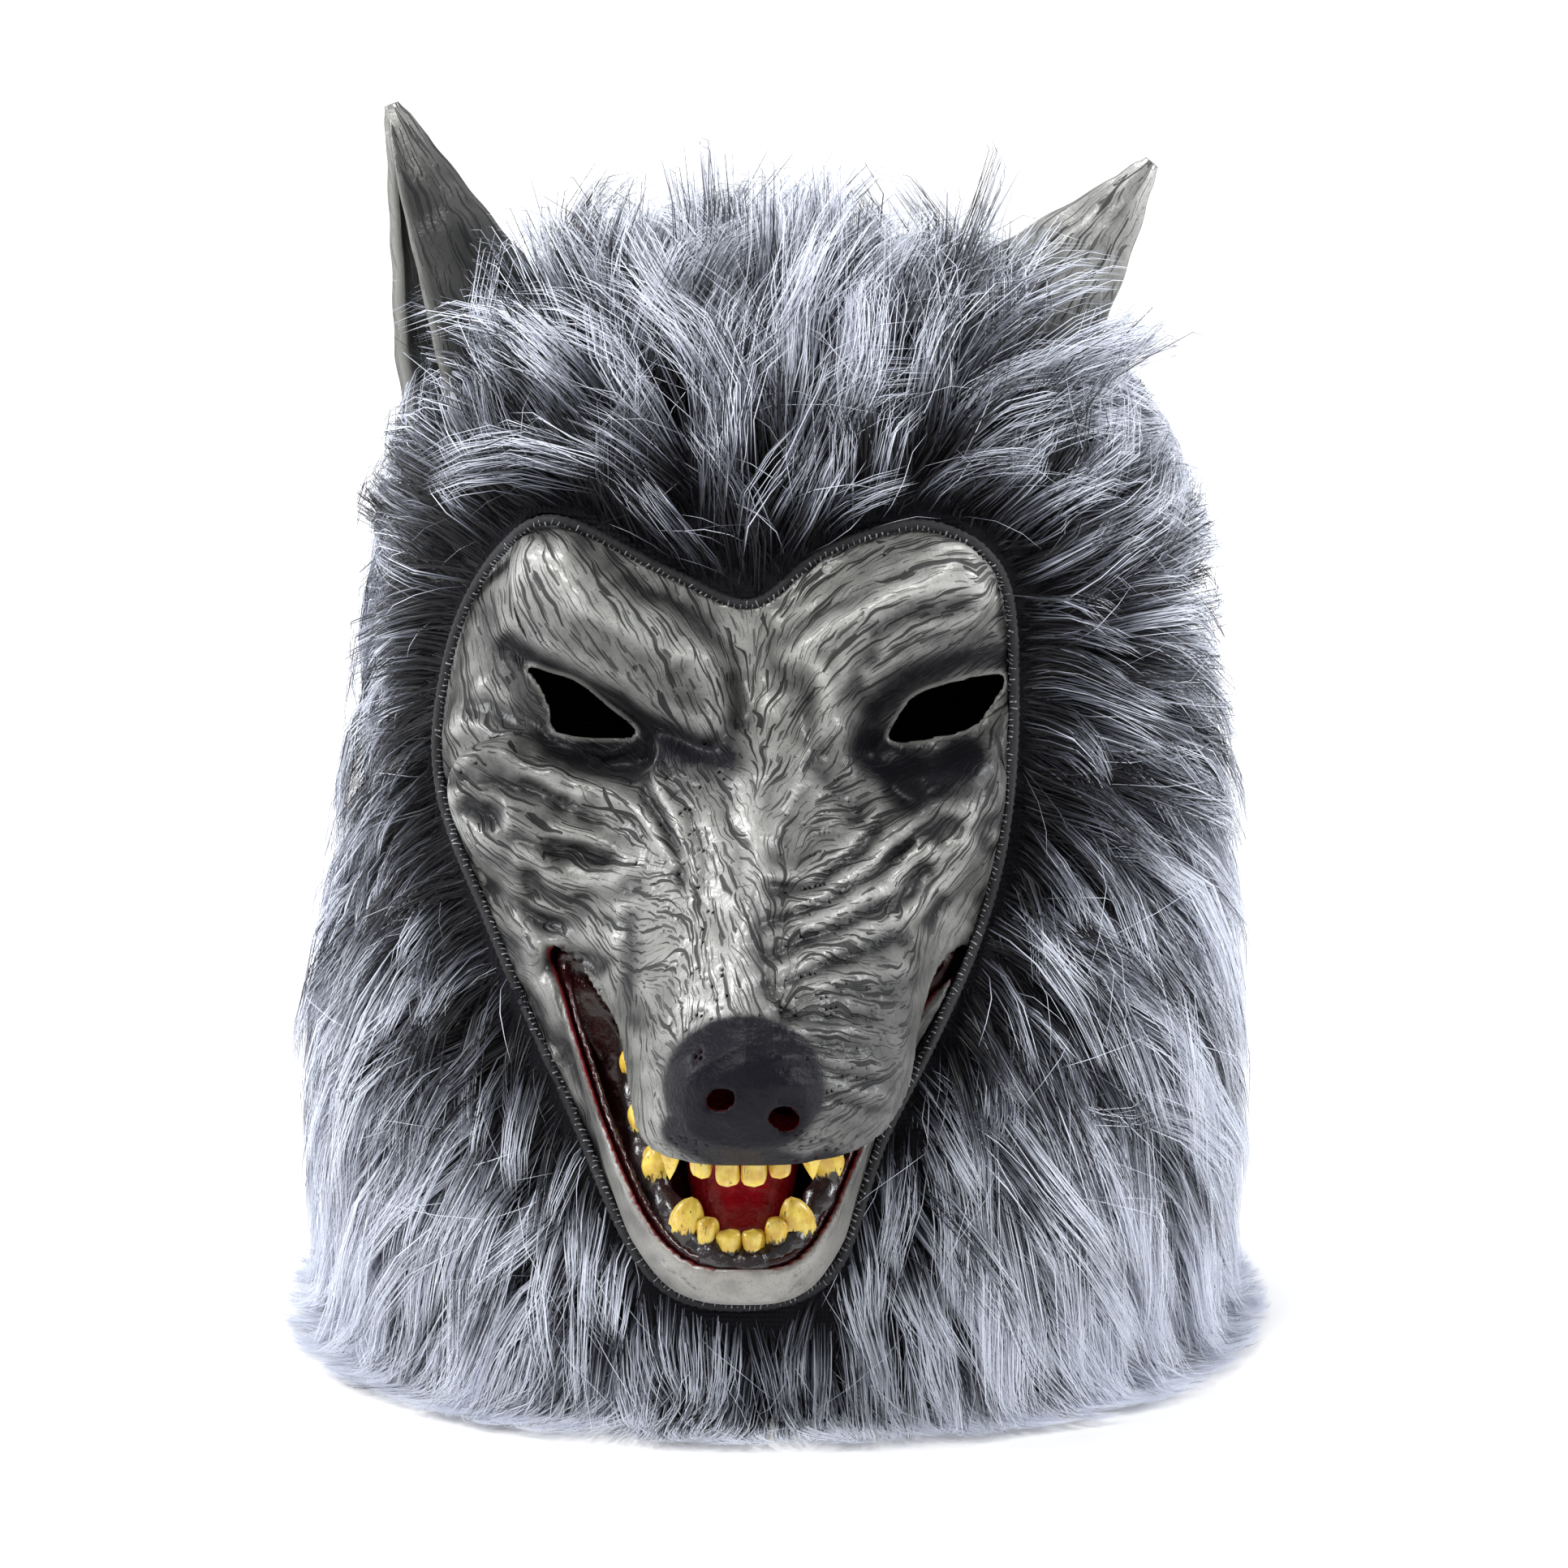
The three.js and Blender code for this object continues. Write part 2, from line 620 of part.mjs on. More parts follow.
// A tooth: a blunt peg that stands in the gum and points into the open mouth.
function tooth(arch, side, row, gap) {
  const radius = row.wide * toothRadius + gap;
  const length = row.long * toothLength;
  const root = gumThickness / 2 + gap;
  const profile = [
    [0, -root],
    [radius, -root],
    [radius, length * 0.35],
    [radius * 0.78, length * 0.75],
    [radius * 0.4, length * 0.96],
    [0, length],
  ].map(([r, h]) => new THREE.Vector2(r, h));
  const peg = new THREE.LatheGeometry(profile, 6);
  peg.rotateX(arch.above > 0 ? -Math.PI / 2 : Math.PI / 2);
  const at = archPoint(arch, side, row.turn);
  const lipZ = mouthCornerZ + (at.y - mouthCornerY) * Math.tan(radians(arch.slope));
  peg.translate(at.x, at.y, lipZ + arch.above * gumDepth);
  return solidOf(peg);
}

const lowerArch = {
  above: -1,
  slope: lowerLipSlope,
  halfWidth: lowerArchHalfWidth,
  reach: lowerArchReach,
  y: lowerArchY,
};
const upperArch = {
  above: 1,
  slope: upperLipSlope,
  halfWidth: upperArchHalfWidth,
  reach: upperArchReach,
  y: upperArchY,
};

// The tongue: a long rounded slab that rises from the floor of the mouth.
function tongueForm() {
  const slab = new THREE.SphereGeometry(1, 12, 8);
  slab.scale(0.52 * lowerArchHalfWidth, 0.82 * lowerArchReach, 0.34 * lowerArchHalfWidth);
  slab.rotateX(radians(lowerLipSlope - 4));
  slab.translate(archMiddleX, lowerArchY - 0.12 * lowerArchReach, tongueHeight);
  return solidOf(slab).intersect(mouthSpace);
}

// Turns and sets an ear's geometry at its seat.
function seatedEar(leaf, { seatX, seatZ, lean }) {
  leaf.rotateY(radians(lean));
  leaf.translate(seatX, earSeatY, seatZ);
  return solidOf(leaf);
}

// One ear: an open shell, C-shaped in section, that narrows to its tip.
function earForm(ear) {
  const steps = 9;
  const arc = (row, inset) =>
    Array.from({ length: steps + 1 }, (_, i) => {
      const angle = radians(ear.opening + 180 + (i / steps - 0.5) * EAR_ARC);
      return new THREE.Vector3(
        Math.cos(angle) * ((row.wide * ear.width * earWidth) / 2 - inset),
        Math.sin(angle) * ((row.deep * earDepth) / 2 - inset),
        row.rise * ear.length * earLength,
      );
    });
  const rings = EAR_SECTIONS.map((row) => {
    const wall = Math.min(earWall, 0.35 * row.wide * earWidth, 0.35 * row.deep * earDepth);
    return [...arc(row, 0), ...arc(row, wall).reverse()];
  });
  return seatedEar(stripLoft(rings), ear);
}

// The space an ear takes up, hollow and all, with a gap round it.
function earSpace(ear) {
  const rings = EAR_SECTIONS.map(({ rise, wide, deep }) => {
    const a = (wide * ear.width * earWidth) / 2 + 2 * seamGap;
    const b = (deep * earDepth) / 2 + 2 * seamGap;
    return roundedLoop(12, 2, a, b, a, b).map(
      ([x, y]) => new THREE.Vector3(x, y, rise * ear.length * earLength),
    );
  });
  return seatedEar(loft(rings), ear);
}

// The way the pile lies at a point: away from the face, and falling below its middle.
function pileDirection(point, normal) {
  const away = new THREE.Vector3(point.x - faceMiddleX, 0, point.z - faceMiddleZ - 20);
  away.normalize();
  away.y = 0.45;
  const fall = THREE.MathUtils.clamp((faceMiddleZ + 90 - point.z) / 120, 0, 1);
  away.z -= 1.2 * fall;
  return away.addScaledVector(normal, -away.dot(normal)).normalize();
}

function hoodPoint(z, angle) {
  const { side, front, back } = hoodExtents(z);
  const c = signedPower(Math.cos(angle), 2 / hoodRoundness);
  const s = signedPower(Math.sin(angle), 2 / hoodRoundness);
  return new THREE.Vector3(c * side, hoodAxisY + s * (s > 0 ? back : front), z);
}

function hoodNormal(z, angle) {
  const step = 0.02;
  const round = hoodPoint(z, angle + step).sub(hoodPoint(z, angle - step));
  const up = hoodPoint(Math.min(z + 3, hoodHeight - 1), angle).sub(hoodPoint(z - 3, angle));
  return round.cross(up).normalize();
}

// One lock of pile: a three-edged tapering horn that rises out of the backing to a point.
function lock(point, normal, direction) {
  const across = new THREE.Vector3().crossVectors(normal, direction);
  const rings = LOCK_SECTIONS.map((row) => {
    const middle = point
      .clone()
      .addScaledVector(direction, row.along * pileLength)
      .addScaledVector(normal, row.lift * pileLift - pileSink);
    return [1, 0, -1].map((edge) =>
      middle
        .clone()
        .addScaledVector(across, (edge * row.wide * pileWidth) / 2)
        .addScaledVector(normal, edge === 0 ? row.thick * pileThickness : 0),
    );
  });
  return solidOf(loft(rings));
}

// The hood: the cloth backing and its pile in one piece, with the face's opening cut out of it.
function furHood() {
  const opening = seamPrism(seamGap);
  const locks = [];
  PILE_ROWS.forEach((rise, row) => {
    const z = rise * hoodHeight;
    const { side, front, back } = hoodExtents(z);
    const count = Math.max(Math.round((Math.PI * (side + (front + back) / 2)) / pileSpacing), 3);
    for (let i = 0; i < count; i += 1) {
      const angle = (2 * Math.PI * (i + (row % 2) / 2)) / count;
      const point = hoodPoint(z, angle);
      const normal = hoodNormal(z, angle);
      locks.push(lock(point, normal, pileDirection(point, normal)));
    }
  });
  return largestBody(
    wasm.Manifold.union(locks)
      .subtract(wasm.Manifold.union(EARS.map(earSpace)))
      .add(headForm(0))
      .subtract(headForm(hoodWall, 10))
      .subtract(opening)
      .subtract(belowPlane(0, 0, 0)),
  );
}

// The hood is sewn from four panels that meet over the crown: left and right, front and back.
function hoodPanel(hood, side, end) {
  const reach = 400;
  const corner = (sign, seam) => seam + (sign * seamGap) / 2 - (sign < 0 ? reach : 0);
  const space = wasm.Manifold.cube([reach, reach, reach]).translate([
    corner(side, 0),
    corner(end, panelSeamY),
    -1,
  ]);
  return largestBody(hood.intersect(space));
}

const materials = {
  skin: new THREE.MeshStandardMaterial({ color: 0x7d7d78, roughness: 0.45, metalness: 0 }),
  gum: new THREE.MeshStandardMaterial({ color: 0x1a1413, roughness: 0.35, metalness: 0 }),
  mouth: new THREE.MeshStandardMaterial({ color: 0x8a0d12, roughness: 0.25, metalness: 0 }),
  tooth: new THREE.MeshStandardMaterial({ color: 0xe0c23c, roughness: 0.35, metalness: 0 }),
  fur: new THREE.MeshStandardMaterial({ color: 0x6f7380, roughness: 0.9, metalness: 0 }),
};

const mask = new THREE.Group();
function addPiece(name, solid, material) {
  const mesh = new THREE.Mesh(geometryOf(solid), material);
  mesh.name = name;
  mask.add(mesh);
}

const face = faceMoulding();
addPiece("face_moulding", face, materials.skin);

const seat = headForm(-seamGap);
for (const ear of EARS) {
  addPiece(ear.name, largestBody(earForm(ear).subtract(seat)), materials.skin);
}

const hood = furHood();
for (const [end, place] of [[-1, "front"], [1, "back"]]) {
  for (const [side, hand] of [[-1, "left"], [1, "right"]]) {
    addPiece(`hood_${place}_${hand}`, hoodPanel(hood, side, end), materials.fur);
  }
}

addPiece("mouth_lining", mouthLining(), materials.mouth);
addPiece("tongue", tongueForm(), materials.mouth);

const jaws = [
  { gumName: "upper_gum", arch: upperArch, rows: UPPER_TEETH },
  { gumName: "lower_gum", arch: lowerArch, rows: LOWER_TEETH },
];
for (const { gumName, arch, rows } of jaws) {
  const sockets = [];
  for (const [side, suffix] of [[-1, "left"], [1, "right"]]) {
    for (const row of rows) {
      const peg = tooth(arch, side, row, 0).intersect(toothSpace);
      addPiece(`${row.name}_${suffix}`, peg, materials.tooth);
      sockets.push(tooth(arch, side, row, seamGap));
    }
  }
  addPiece(gumName, largestBody(gum(arch).subtract(wasm.Manifold.union(sockets))), materials.gum);
}

export default mask;
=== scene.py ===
"""A werewolf costume mask on a pale floor: moulded face and ears, painted mouth, deep-pile hood.

Shapes are worked out in millimetres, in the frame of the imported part, and made in metres."""

import math

import bmesh
import bpy
import numpy as np
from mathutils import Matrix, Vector, kdtree


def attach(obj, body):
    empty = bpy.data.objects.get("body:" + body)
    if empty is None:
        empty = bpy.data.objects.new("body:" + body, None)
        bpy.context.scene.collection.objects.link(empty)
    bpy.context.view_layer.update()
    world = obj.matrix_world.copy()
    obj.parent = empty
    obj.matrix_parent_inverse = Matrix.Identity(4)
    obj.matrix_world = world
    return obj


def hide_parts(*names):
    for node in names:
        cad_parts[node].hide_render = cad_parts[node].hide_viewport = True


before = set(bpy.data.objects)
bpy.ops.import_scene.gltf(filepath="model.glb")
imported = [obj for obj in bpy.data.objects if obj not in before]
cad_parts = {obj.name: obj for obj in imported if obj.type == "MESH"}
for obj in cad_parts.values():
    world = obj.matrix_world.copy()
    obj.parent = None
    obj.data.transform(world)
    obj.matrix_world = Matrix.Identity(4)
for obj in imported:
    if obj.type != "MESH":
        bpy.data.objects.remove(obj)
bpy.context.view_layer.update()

MM = 0.001

# ---------------------------------------------------------------- camera

VIEW_ELEVATION = math.radians(13)
VIEW_DISTANCE = 1500.0
VIEW_TARGET = (2.6, 7.0, 163.0)
FRAME_SIZE = 1932
SENSOR_WIDTH = 36
# What one pixel of the picture spans, in mm: at the view's target, and at the face
TARGET_PIXEL, FACE_PIXEL = 0.24, 0.219
FOCAL = VIEW_DISTANCE / TARGET_PIXEL
TO_CAMERA = np.array([0.0, -math.cos(VIEW_ELEVATION), math.sin(VIEW_ELEVATION)])


def to_picture(x, y, z):
    """Where a point lies in the picture, in pixels of the whole frame."""
    c, s = math.cos(VIEW_ELEVATION), math.sin(VIEW_ELEVATION)
    depth = VIEW_DISTANCE + (y - VIEW_TARGET[1]) * c - (z - VIEW_TARGET[2]) * s
    up = (y - VIEW_TARGET[1]) * s + (z - VIEW_TARGET[2]) * c
    middle = FRAME_SIZE / 2
    return middle + FOCAL * (x - VIEW_TARGET[0]) / depth, middle - FOCAL * up / depth


def add_object(name, data):
    made = bpy.data.objects.new(name, data)
    bpy.context.scene.collection.objects.link(made)
    return made


def point_at(thing, at, way):
    """Puts a camera or lamp at a place in metres, looking along a direction."""
    thing.location = at
    thing.rotation_mode = "QUATERNION"
    thing.rotation_quaternion = way.to_track_quat("-Z", "Y")


def cos_sin(degrees):
    return math.cos(math.radians(degrees)), math.sin(math.radians(degrees))


def make_camera():
    data = bpy.data.cameras.new("camera")
    data.sensor_width = SENSOR_WIDTH
    data.lens = SENSOR_WIDTH * FOCAL / FRAME_SIZE
    data.clip_start, data.clip_end = 0.05, 20
    camera = add_object("camera", data)
    back = Vector(TO_CAMERA)
    point_at(camera, (Vector(VIEW_TARGET) + back * VIEW_DISTANCE) * MM, -back)
    bpy.context.scene.camera = camera


# ---------------------------------------------------------------- meshes


def make_piece(name, points, faces, material, replaces=(), values=None):
    """A mesh piece from points in mm and one or more arrays of faces."""
    mesh = bpy.data.meshes.new(name)
    points = np.asarray(points, np.float32) * MM
    groups = [np.asarray(f, np.int32) for f in (faces if isinstance(faces, list) else [faces])]
    loops = np.concatenate([g.ravel() for g in groups])
    sizes = np.concatenate([np.full(len(g), g.shape[1]) for g in groups])
    mesh.vertices.add(len(points))
    mesh.vertices.foreach_set("co", points.ravel())
    mesh.loops.add(len(loops))
    mesh.loops.foreach_set("vertex_index", loops)
    mesh.polygons.add(len(sizes))
    starts = np.concatenate([[0], np.cumsum(sizes)[:-1]]).astype(np.int32)
    mesh.polygons.foreach_set("loop_start", starts)
    mesh.update(calc_edges=True)
    mesh.polygons.foreach_set("use_smooth", np.full(len(sizes), True))
    for key, value in (values or {}).items():
        value = np.asarray(value, np.float32)
        kind, field = ("FLOAT", "value") if value.ndim == 1 else ("FLOAT_VECTOR", "vector")
        mesh.attributes.new(key, kind, "POINT").data.foreach_set(field, value.ravel())
    mesh.materials.append(material)
    piece = add_object(name, mesh)
    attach(piece, "root")
    if replaces:
        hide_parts(*replaces)
    return piece


def ring_faces(rows, count):
    """Quads between closed rings of points that follow one another."""
    i = np.arange(count)
    j = (i + 1) % count
    base = (np.arange(rows - 1) * count)[:, None]
    return np.stack([base + i, base + j, base + count + j, base + count + i], -1).reshape(-1, 4)


def end_fans(rows, count):
    """Triangles that close both ends of such rings, to the two points that follow them."""
    i = np.arange(count)
    j = (i + 1) % count
    base = (rows - 1) * count
    return [np.stack([np.full(count, rows * count), j, i], 1),
            np.stack([np.full(count, rows * count + 1), base + i, base + j], 1)]


def circles(side, over, sides, squash=1.0):
    """A ring of points of radius 1 for each pair of directions."""
    turn = 2 * np.pi * np.arange(sides) / sides
    return np.cos(turn)[None, :, None] * side[:, None] + squash * np.sin(turn)[None, :, None] * over[:, None]


def pixels(line):
    """A line's points in the picture from its numbers."""
    return np.array(line, float).reshape(-1, 2)


def unit(v):
    """Vectors at length 1."""
    return v / np.maximum(np.linalg.norm(v, axis=-1, keepdims=True), 1e-9)


def smooth_step(value, low, high):
    t = np.clip((value - low) / (high - low), 0, 1)
    return t * t * (3 - 2 * t)


def smooth_rows(table, at):
    """Reads a table's columns smoothly at a value of its first column."""
    at = np.clip(at, table[0, 0], table[-1, 0])
    last = len(table) - 1
    span = np.clip(np.searchsorted(table[:, 0], at, side="right") - 1, 0, last - 1)
    f = ((at - table[span, 0]) / (table[span + 1, 0] - table[span, 0]))[..., None]
    a, b = table[np.maximum(span - 1, 0)], table[span]
    c, d = table[span + 1], table[np.minimum(span + 2, last)]
    u, v = (c - a) / 2, (d - b) / 2
    return (2 * b - 2 * c + u + v) * f**3 + (-3 * b + 3 * c - 2 * u - v) * f**2 + u * f + b


def closed_spline(corners, per_span):
    """A closed Catmull-Rom line through corners."""
    p = np.asarray(corners, float)
    a, b, c, d = np.roll(p, 1, 0), p, np.roll(p, -1, 0), np.roll(p, -2, 0)
    t = (np.arange(per_span) / per_span)[None, :, None]
    a, b, c, d = (q[:, None, :] for q in (a, b, c, d))
    line = b + t / 2 * (c - a + t * (2 * a - 5 * b + 4 * c - d + t * (3 * (b - c) + d - a)))
    return line.reshape(-1, p.shape[1])


def line_distance(points, line, closed=False):
    """Distance of 2-D points from a polyline."""
    best = np.full(len(points), 1e9, np.float32)
    ends = np.roll(line, -1, 0) if closed else line[1:]
    for a, b in zip(line[: len(ends)], ends):
        ab = b - a
        t = np.clip(((points - a) @ ab) / max(ab @ ab, 1e-9), 0, 1)
        best = np.minimum(best, np.hypot(*(points - a - t[:, None] * ab).T))
    return best


def polygon_distance(points, corners):
    """Signed distance of 2-D points from a closed polygon, negative inside."""
    inside = np.zeros(len(points), bool)
    for a, b in zip(corners, np.roll(corners, -1, 0)):
        crosses = (a[1] > points[:, 1]) != (b[1] > points[:, 1])
        rise = b[1] - a[1] if b[1] != a[1] else 1e-9
        inside ^= crosses & (points[:, 0] < (b[0] - a[0]) * (points[:, 1] - a[1]) / rise + a[0])
    return np.where(inside, -1, 1) * line_distance(points, corners, closed=True)


# ---------------------------------------------------------------- materials


class Nodes:
    """A material and short ways to add nodes to it."""

    def __init__(self, name):
        self.material = bpy.data.materials.new(name)
        self.material.use_nodes = True
        self.tree = self.material.node_tree
        self.shader = self.tree.nodes["Principled BSDF"]

    def add(self, kind, inputs=None, **settings):
        made = self.tree.nodes.new(kind)
        for key, value in settings.items():
            setattr(made, key, value)
        for key, value in (inputs or {}).items():
            self.put(made.inputs[key], value)
        return made

    def put(self, socket, value):
        if isinstance(value, bpy.types.NodeSocket):
            self.tree.links.new(value, socket)
        else:
            socket.default_value = value

    def attribute(self, name, output="Fac"):
        return self.add("ShaderNodeAttribute", attribute_name=name).outputs[output]

    def math(self, operation, a, b=0.0, clamp=False):
        made = self.add("ShaderNodeMath", {0: a, 1: b}, operation=operation, use_clamp=clamp)
        return made.outputs[0]

    def times(self, a, b, clamp=False):
        return self.math("MULTIPLY", a, b, clamp)

    def plus(self, a, b):
        return self.math("ADD", a, b)

    def minus(self, a, b):
        return self.math("SUBTRACT", a, b)

    def swing(self, value, height):
        """How far a value lies from 0.5, times a height."""
        return self.times(self.minus(value, 0.5), height)

    def mix(self, factor, a, b):
        a, b = ((*c, 1) if isinstance(c, tuple) and len(c) == 3 else c for c in (a, b))
        return self.add("ShaderNodeMix", {0: factor, 6: a, 7: b}, data_type="RGBA").outputs[2]

    def coats(self, tone, *coats):
        """Colours laid over a tone one after another, each with the share that it covers."""
        for share, colour in coats:
            tone = self.mix(share, tone, colour)
        return tone

    def span(self, value, low, high, out_low=0.0, out_high=1.0, smooth=True):
        made = self.add(
            "ShaderNodeMapRange",
            {0: value, 1: low, 2: high, 3: out_low, 4: out_high},
            interpolation_type="SMOOTHSTEP" if smooth else "LINEAR",
        )
        return made.outputs[0]

    def place(self):
        return self.add("ShaderNodeTexCoord").outputs["Object"]

    def scaled(self, vector, x, y, z):
        made = self.add("ShaderNodeMapping", {0: vector, 3: (x, y, z)})
        return made.outputs[0]

    def vector_math(self, operation, a, b, output=0):
        return self.add("ShaderNodeVectorMath", {0: a, 1: b}, operation=operation).outputs[output]

    def dashes(self, place, flow, across, cell, half_width, half_length, seed):
        """Lines along a direction, one in most cells of a net: 1 on the line, 0 beside it."""
        spot = self.vector_math("ADD", place, (seed, seed * 0.7, -seed))
        net = self.add("ShaderNodeTexVoronoi", {"Vector": spot, "Scale": 1 / cell, "Randomness": 1.0})
        away = self.vector_math("SUBTRACT", spot, net.outputs["Position"])
        along = self.vector_math("DOT_PRODUCT", away, flow, "Value")
        beside = self.math("ABSOLUTE", self.vector_math("DOT_PRODUCT", away, across, "Value"))
        chance = self.add("ShaderNodeSeparateXYZ", {0: net.outputs["Color"]}).outputs[0]
        share = self.math("DIVIDE", self.math("ABSOLUTE", along), half_length)
        reach = self.times(half_width, self.minus(1.0, self.times(share, share)))
        reach = self.times(reach, self.span(chance, 0.28, 0.6, smooth=False))
        return self.span(self.minus(reach, beside), -0.00012, 0.00016)

    def noise(self, vector, scale, detail=2.0, roughness=0.5):
        made = self.add(
            "ShaderNodeTexNoise",
            {"Vector": vector, "Scale": scale, "Detail": detail, "Roughness": roughness},
        )
        return made.outputs["Fac"]

    def bump(self, height, strength, distance):
        made = self.add("ShaderNodeBump", {"Strength": strength, "Distance": distance, "Height": height})
        return made.outputs[0]

    def finish(self, colour, roughness, normal=None, **fixed):
        self.put(self.shader.inputs["Base Color"], colour)
        self.put(self.shader.inputs["Roughness"], roughness)
        if normal is not None:
            self.put(self.shader.inputs["Normal"], normal)
        for key, value in fixed.items():
            self.shader.inputs[key.replace("_", " ")].default_value = value
        return self.material


# ---------------------------------------------------------------- head, face and jaw tables

HOOD_SIZE = dict(height=312, side=120, front=112, back=130, axis=20)
HOOD_ROUNDNESS = 2.4
HOOD_NODES = ["hood_front_left", "hood_front_right", "hood_back_left", "hood_back_right"]
# rise, side, front, back
HOOD_SECTIONS = np.array([
    (0, 1, 0.98, 1), (0.13, 0.99, 1, 1), (0.26, 0.975, 0.965, 1), (0.385, 0.94, 0.875, 0.99),
    (0.51, 0.9, 0.785, 0.98), (0.64, 0.86, 0.73, 0.96), (0.755, 0.815, 0.695, 0.905),
    (0.84, 0.73, 0.605, 0.79), (0.913, 0.58, 0.445, 0.6), (0.962, 0.4, 0.28, 0.39),
    (1, 0.12, 0.07, 0.1),
])
FACE_MIDDLE = (-8, 150)
FACE_HALF = (88, 104)
# The seam between face and hood, seen from the front, clockwise from the notch between the brows
SEAM_STATIONS = [
    (0.02, 0.76), (0.26, 0.9), (0.58, 0.97), (0.8, 0.84), (0.85, 0.5), (0.81, 0.12),
    (0.71, -0.18), (0.44, -0.58), (0.27, -0.98), (0.05, -1.1), (-0.26, -1.03), (-0.56, -0.58),
    (-0.82, -0.14), (-1, 0.22), (-0.95, 0.6), (-0.78, 0.88), (-0.6, 0.98), (-0.24, 0.84),
]
MUZZLE_ROOT, MUZZLE_REACH, MUZZLE_HALF, MUZZLE_RISE, MUZZLE_DROP = -35, 136, 50, 90, 40
NOSE_HEIGHT = 124
# reach, left, right, roof, floor
MUZZLE_SECTIONS = np.array([
    (0, 1.16, 1.3, 0.98, 0), (0.17, 1, 1.16, 0.9, 0.2), (0.33, 0.84, 1.04, 0.76, 0.5),
    (0.49, 0.72, 0.97, 0.59, 0.8), (0.654, 0.64, 0.9, 0.42, 0.95), (0.787, 0.59, 0.78, 0.29, 0.98),
    (0.88, 0.48, 0.56, 0.17, 0.72), (0.956, 0.3, 0.34, 0.07, 0.5), (0.99, 0.14, 0.16, 0.005, 0.28),
])
MUZZLE_RIDGE, MUZZLE_LIPS = 1.75, 2.5
JAW_ROOT, JAW_REACH, JAW_HALF, JAW_HEIGHT, JAW_BOTTOM = -40, 96, 50, 100, 42
# rise, left, right, front
JAW_SECTIONS = np.array([
    (0, 0.34, 0.3, 0.8), (0.06, 0.58, 0.5, 0.93), (0.16, 0.72, 0.62, 0.99), (0.3, 0.82, 0.7, 1),
    (0.5, 0.93, 0.82, 0.97), (0.73, 1.06, 0.97, 0.9), (1, 1.2, 1.1, 0.8),
])
# Bulges: across, up, long, wide, deep, out, tilt
FACE_LOBES = [
    (-0.4, 0.67, 0.45, 0.25, 0.85, -0.36, -46), (0.42, 0.69, 0.45, 0.24, 0.85, -0.36, 38),
    (-0.56, 0.1, 0.46, 0.26, 0.9, -0.3, -35), (0.5, 0.1, 0.42, 0.25, 0.9, -0.3, 45),
]
NOSE_PAD = ((-8, -155.4, 118.6), (19, 15, 16.5))
MOUTH_CORNER = (-66, 131)
UPPER_SLOPE, LOWER_SLOPE = math.tan(math.radians(23)), math.tan(math.radians(46))
FACE_WALL = 2.2

seam_line = closed_spline(
    [(FACE_MIDDLE[0] + a * FACE_HALF[0], FACE_MIDDLE[1] + u * FACE_HALF[1]) for a, u in SEAM_STATIONS], 8
)


def hood_extents(z):
    rows = smooth_rows(HOOD_SECTIONS, np.asarray(z, float) / HOOD_SIZE["height"])
    return (rows[..., k] * HOOD_SIZE[key] for k, key in ((1, "side"), (2, "front"), (3, "back")))


def hood_front_y(x, z):
    side, front, _ = hood_extents(z)
    share = np.minimum(np.abs(x) / side, 0.999)
    return HOOD_SIZE["axis"] - front * (1 - share**HOOD_ROUNDNESS) ** (1 / HOOD_ROUNDNESS)


def hood_point(angle, z):
    """Points of the hood's outer surface at an angle round its axis and a height."""
    side, front, back = hood_extents(z)
    power = 2 / HOOD_ROUNDNESS
    c = np.sign(np.cos(angle)) * np.abs(np.cos(angle)) ** power
    s = np.sign(np.sin(angle)) * np.abs(np.sin(angle)) ** power
    return np.stack([c * side, HOOD_SIZE["axis"] + s * np.where(s > 0, back, front), z], -1)


def hood_normal(angle, z):
    turn = hood_point(angle + 0.02, z) - hood_point(angle - 0.02, z)
    high = np.minimum(z + 3, HOOD_SIZE["height"] - 0.5)
    rise = hood_point(angle, high) - hood_point(angle, z - 3)
    return unit(np.cross(turn, rise))


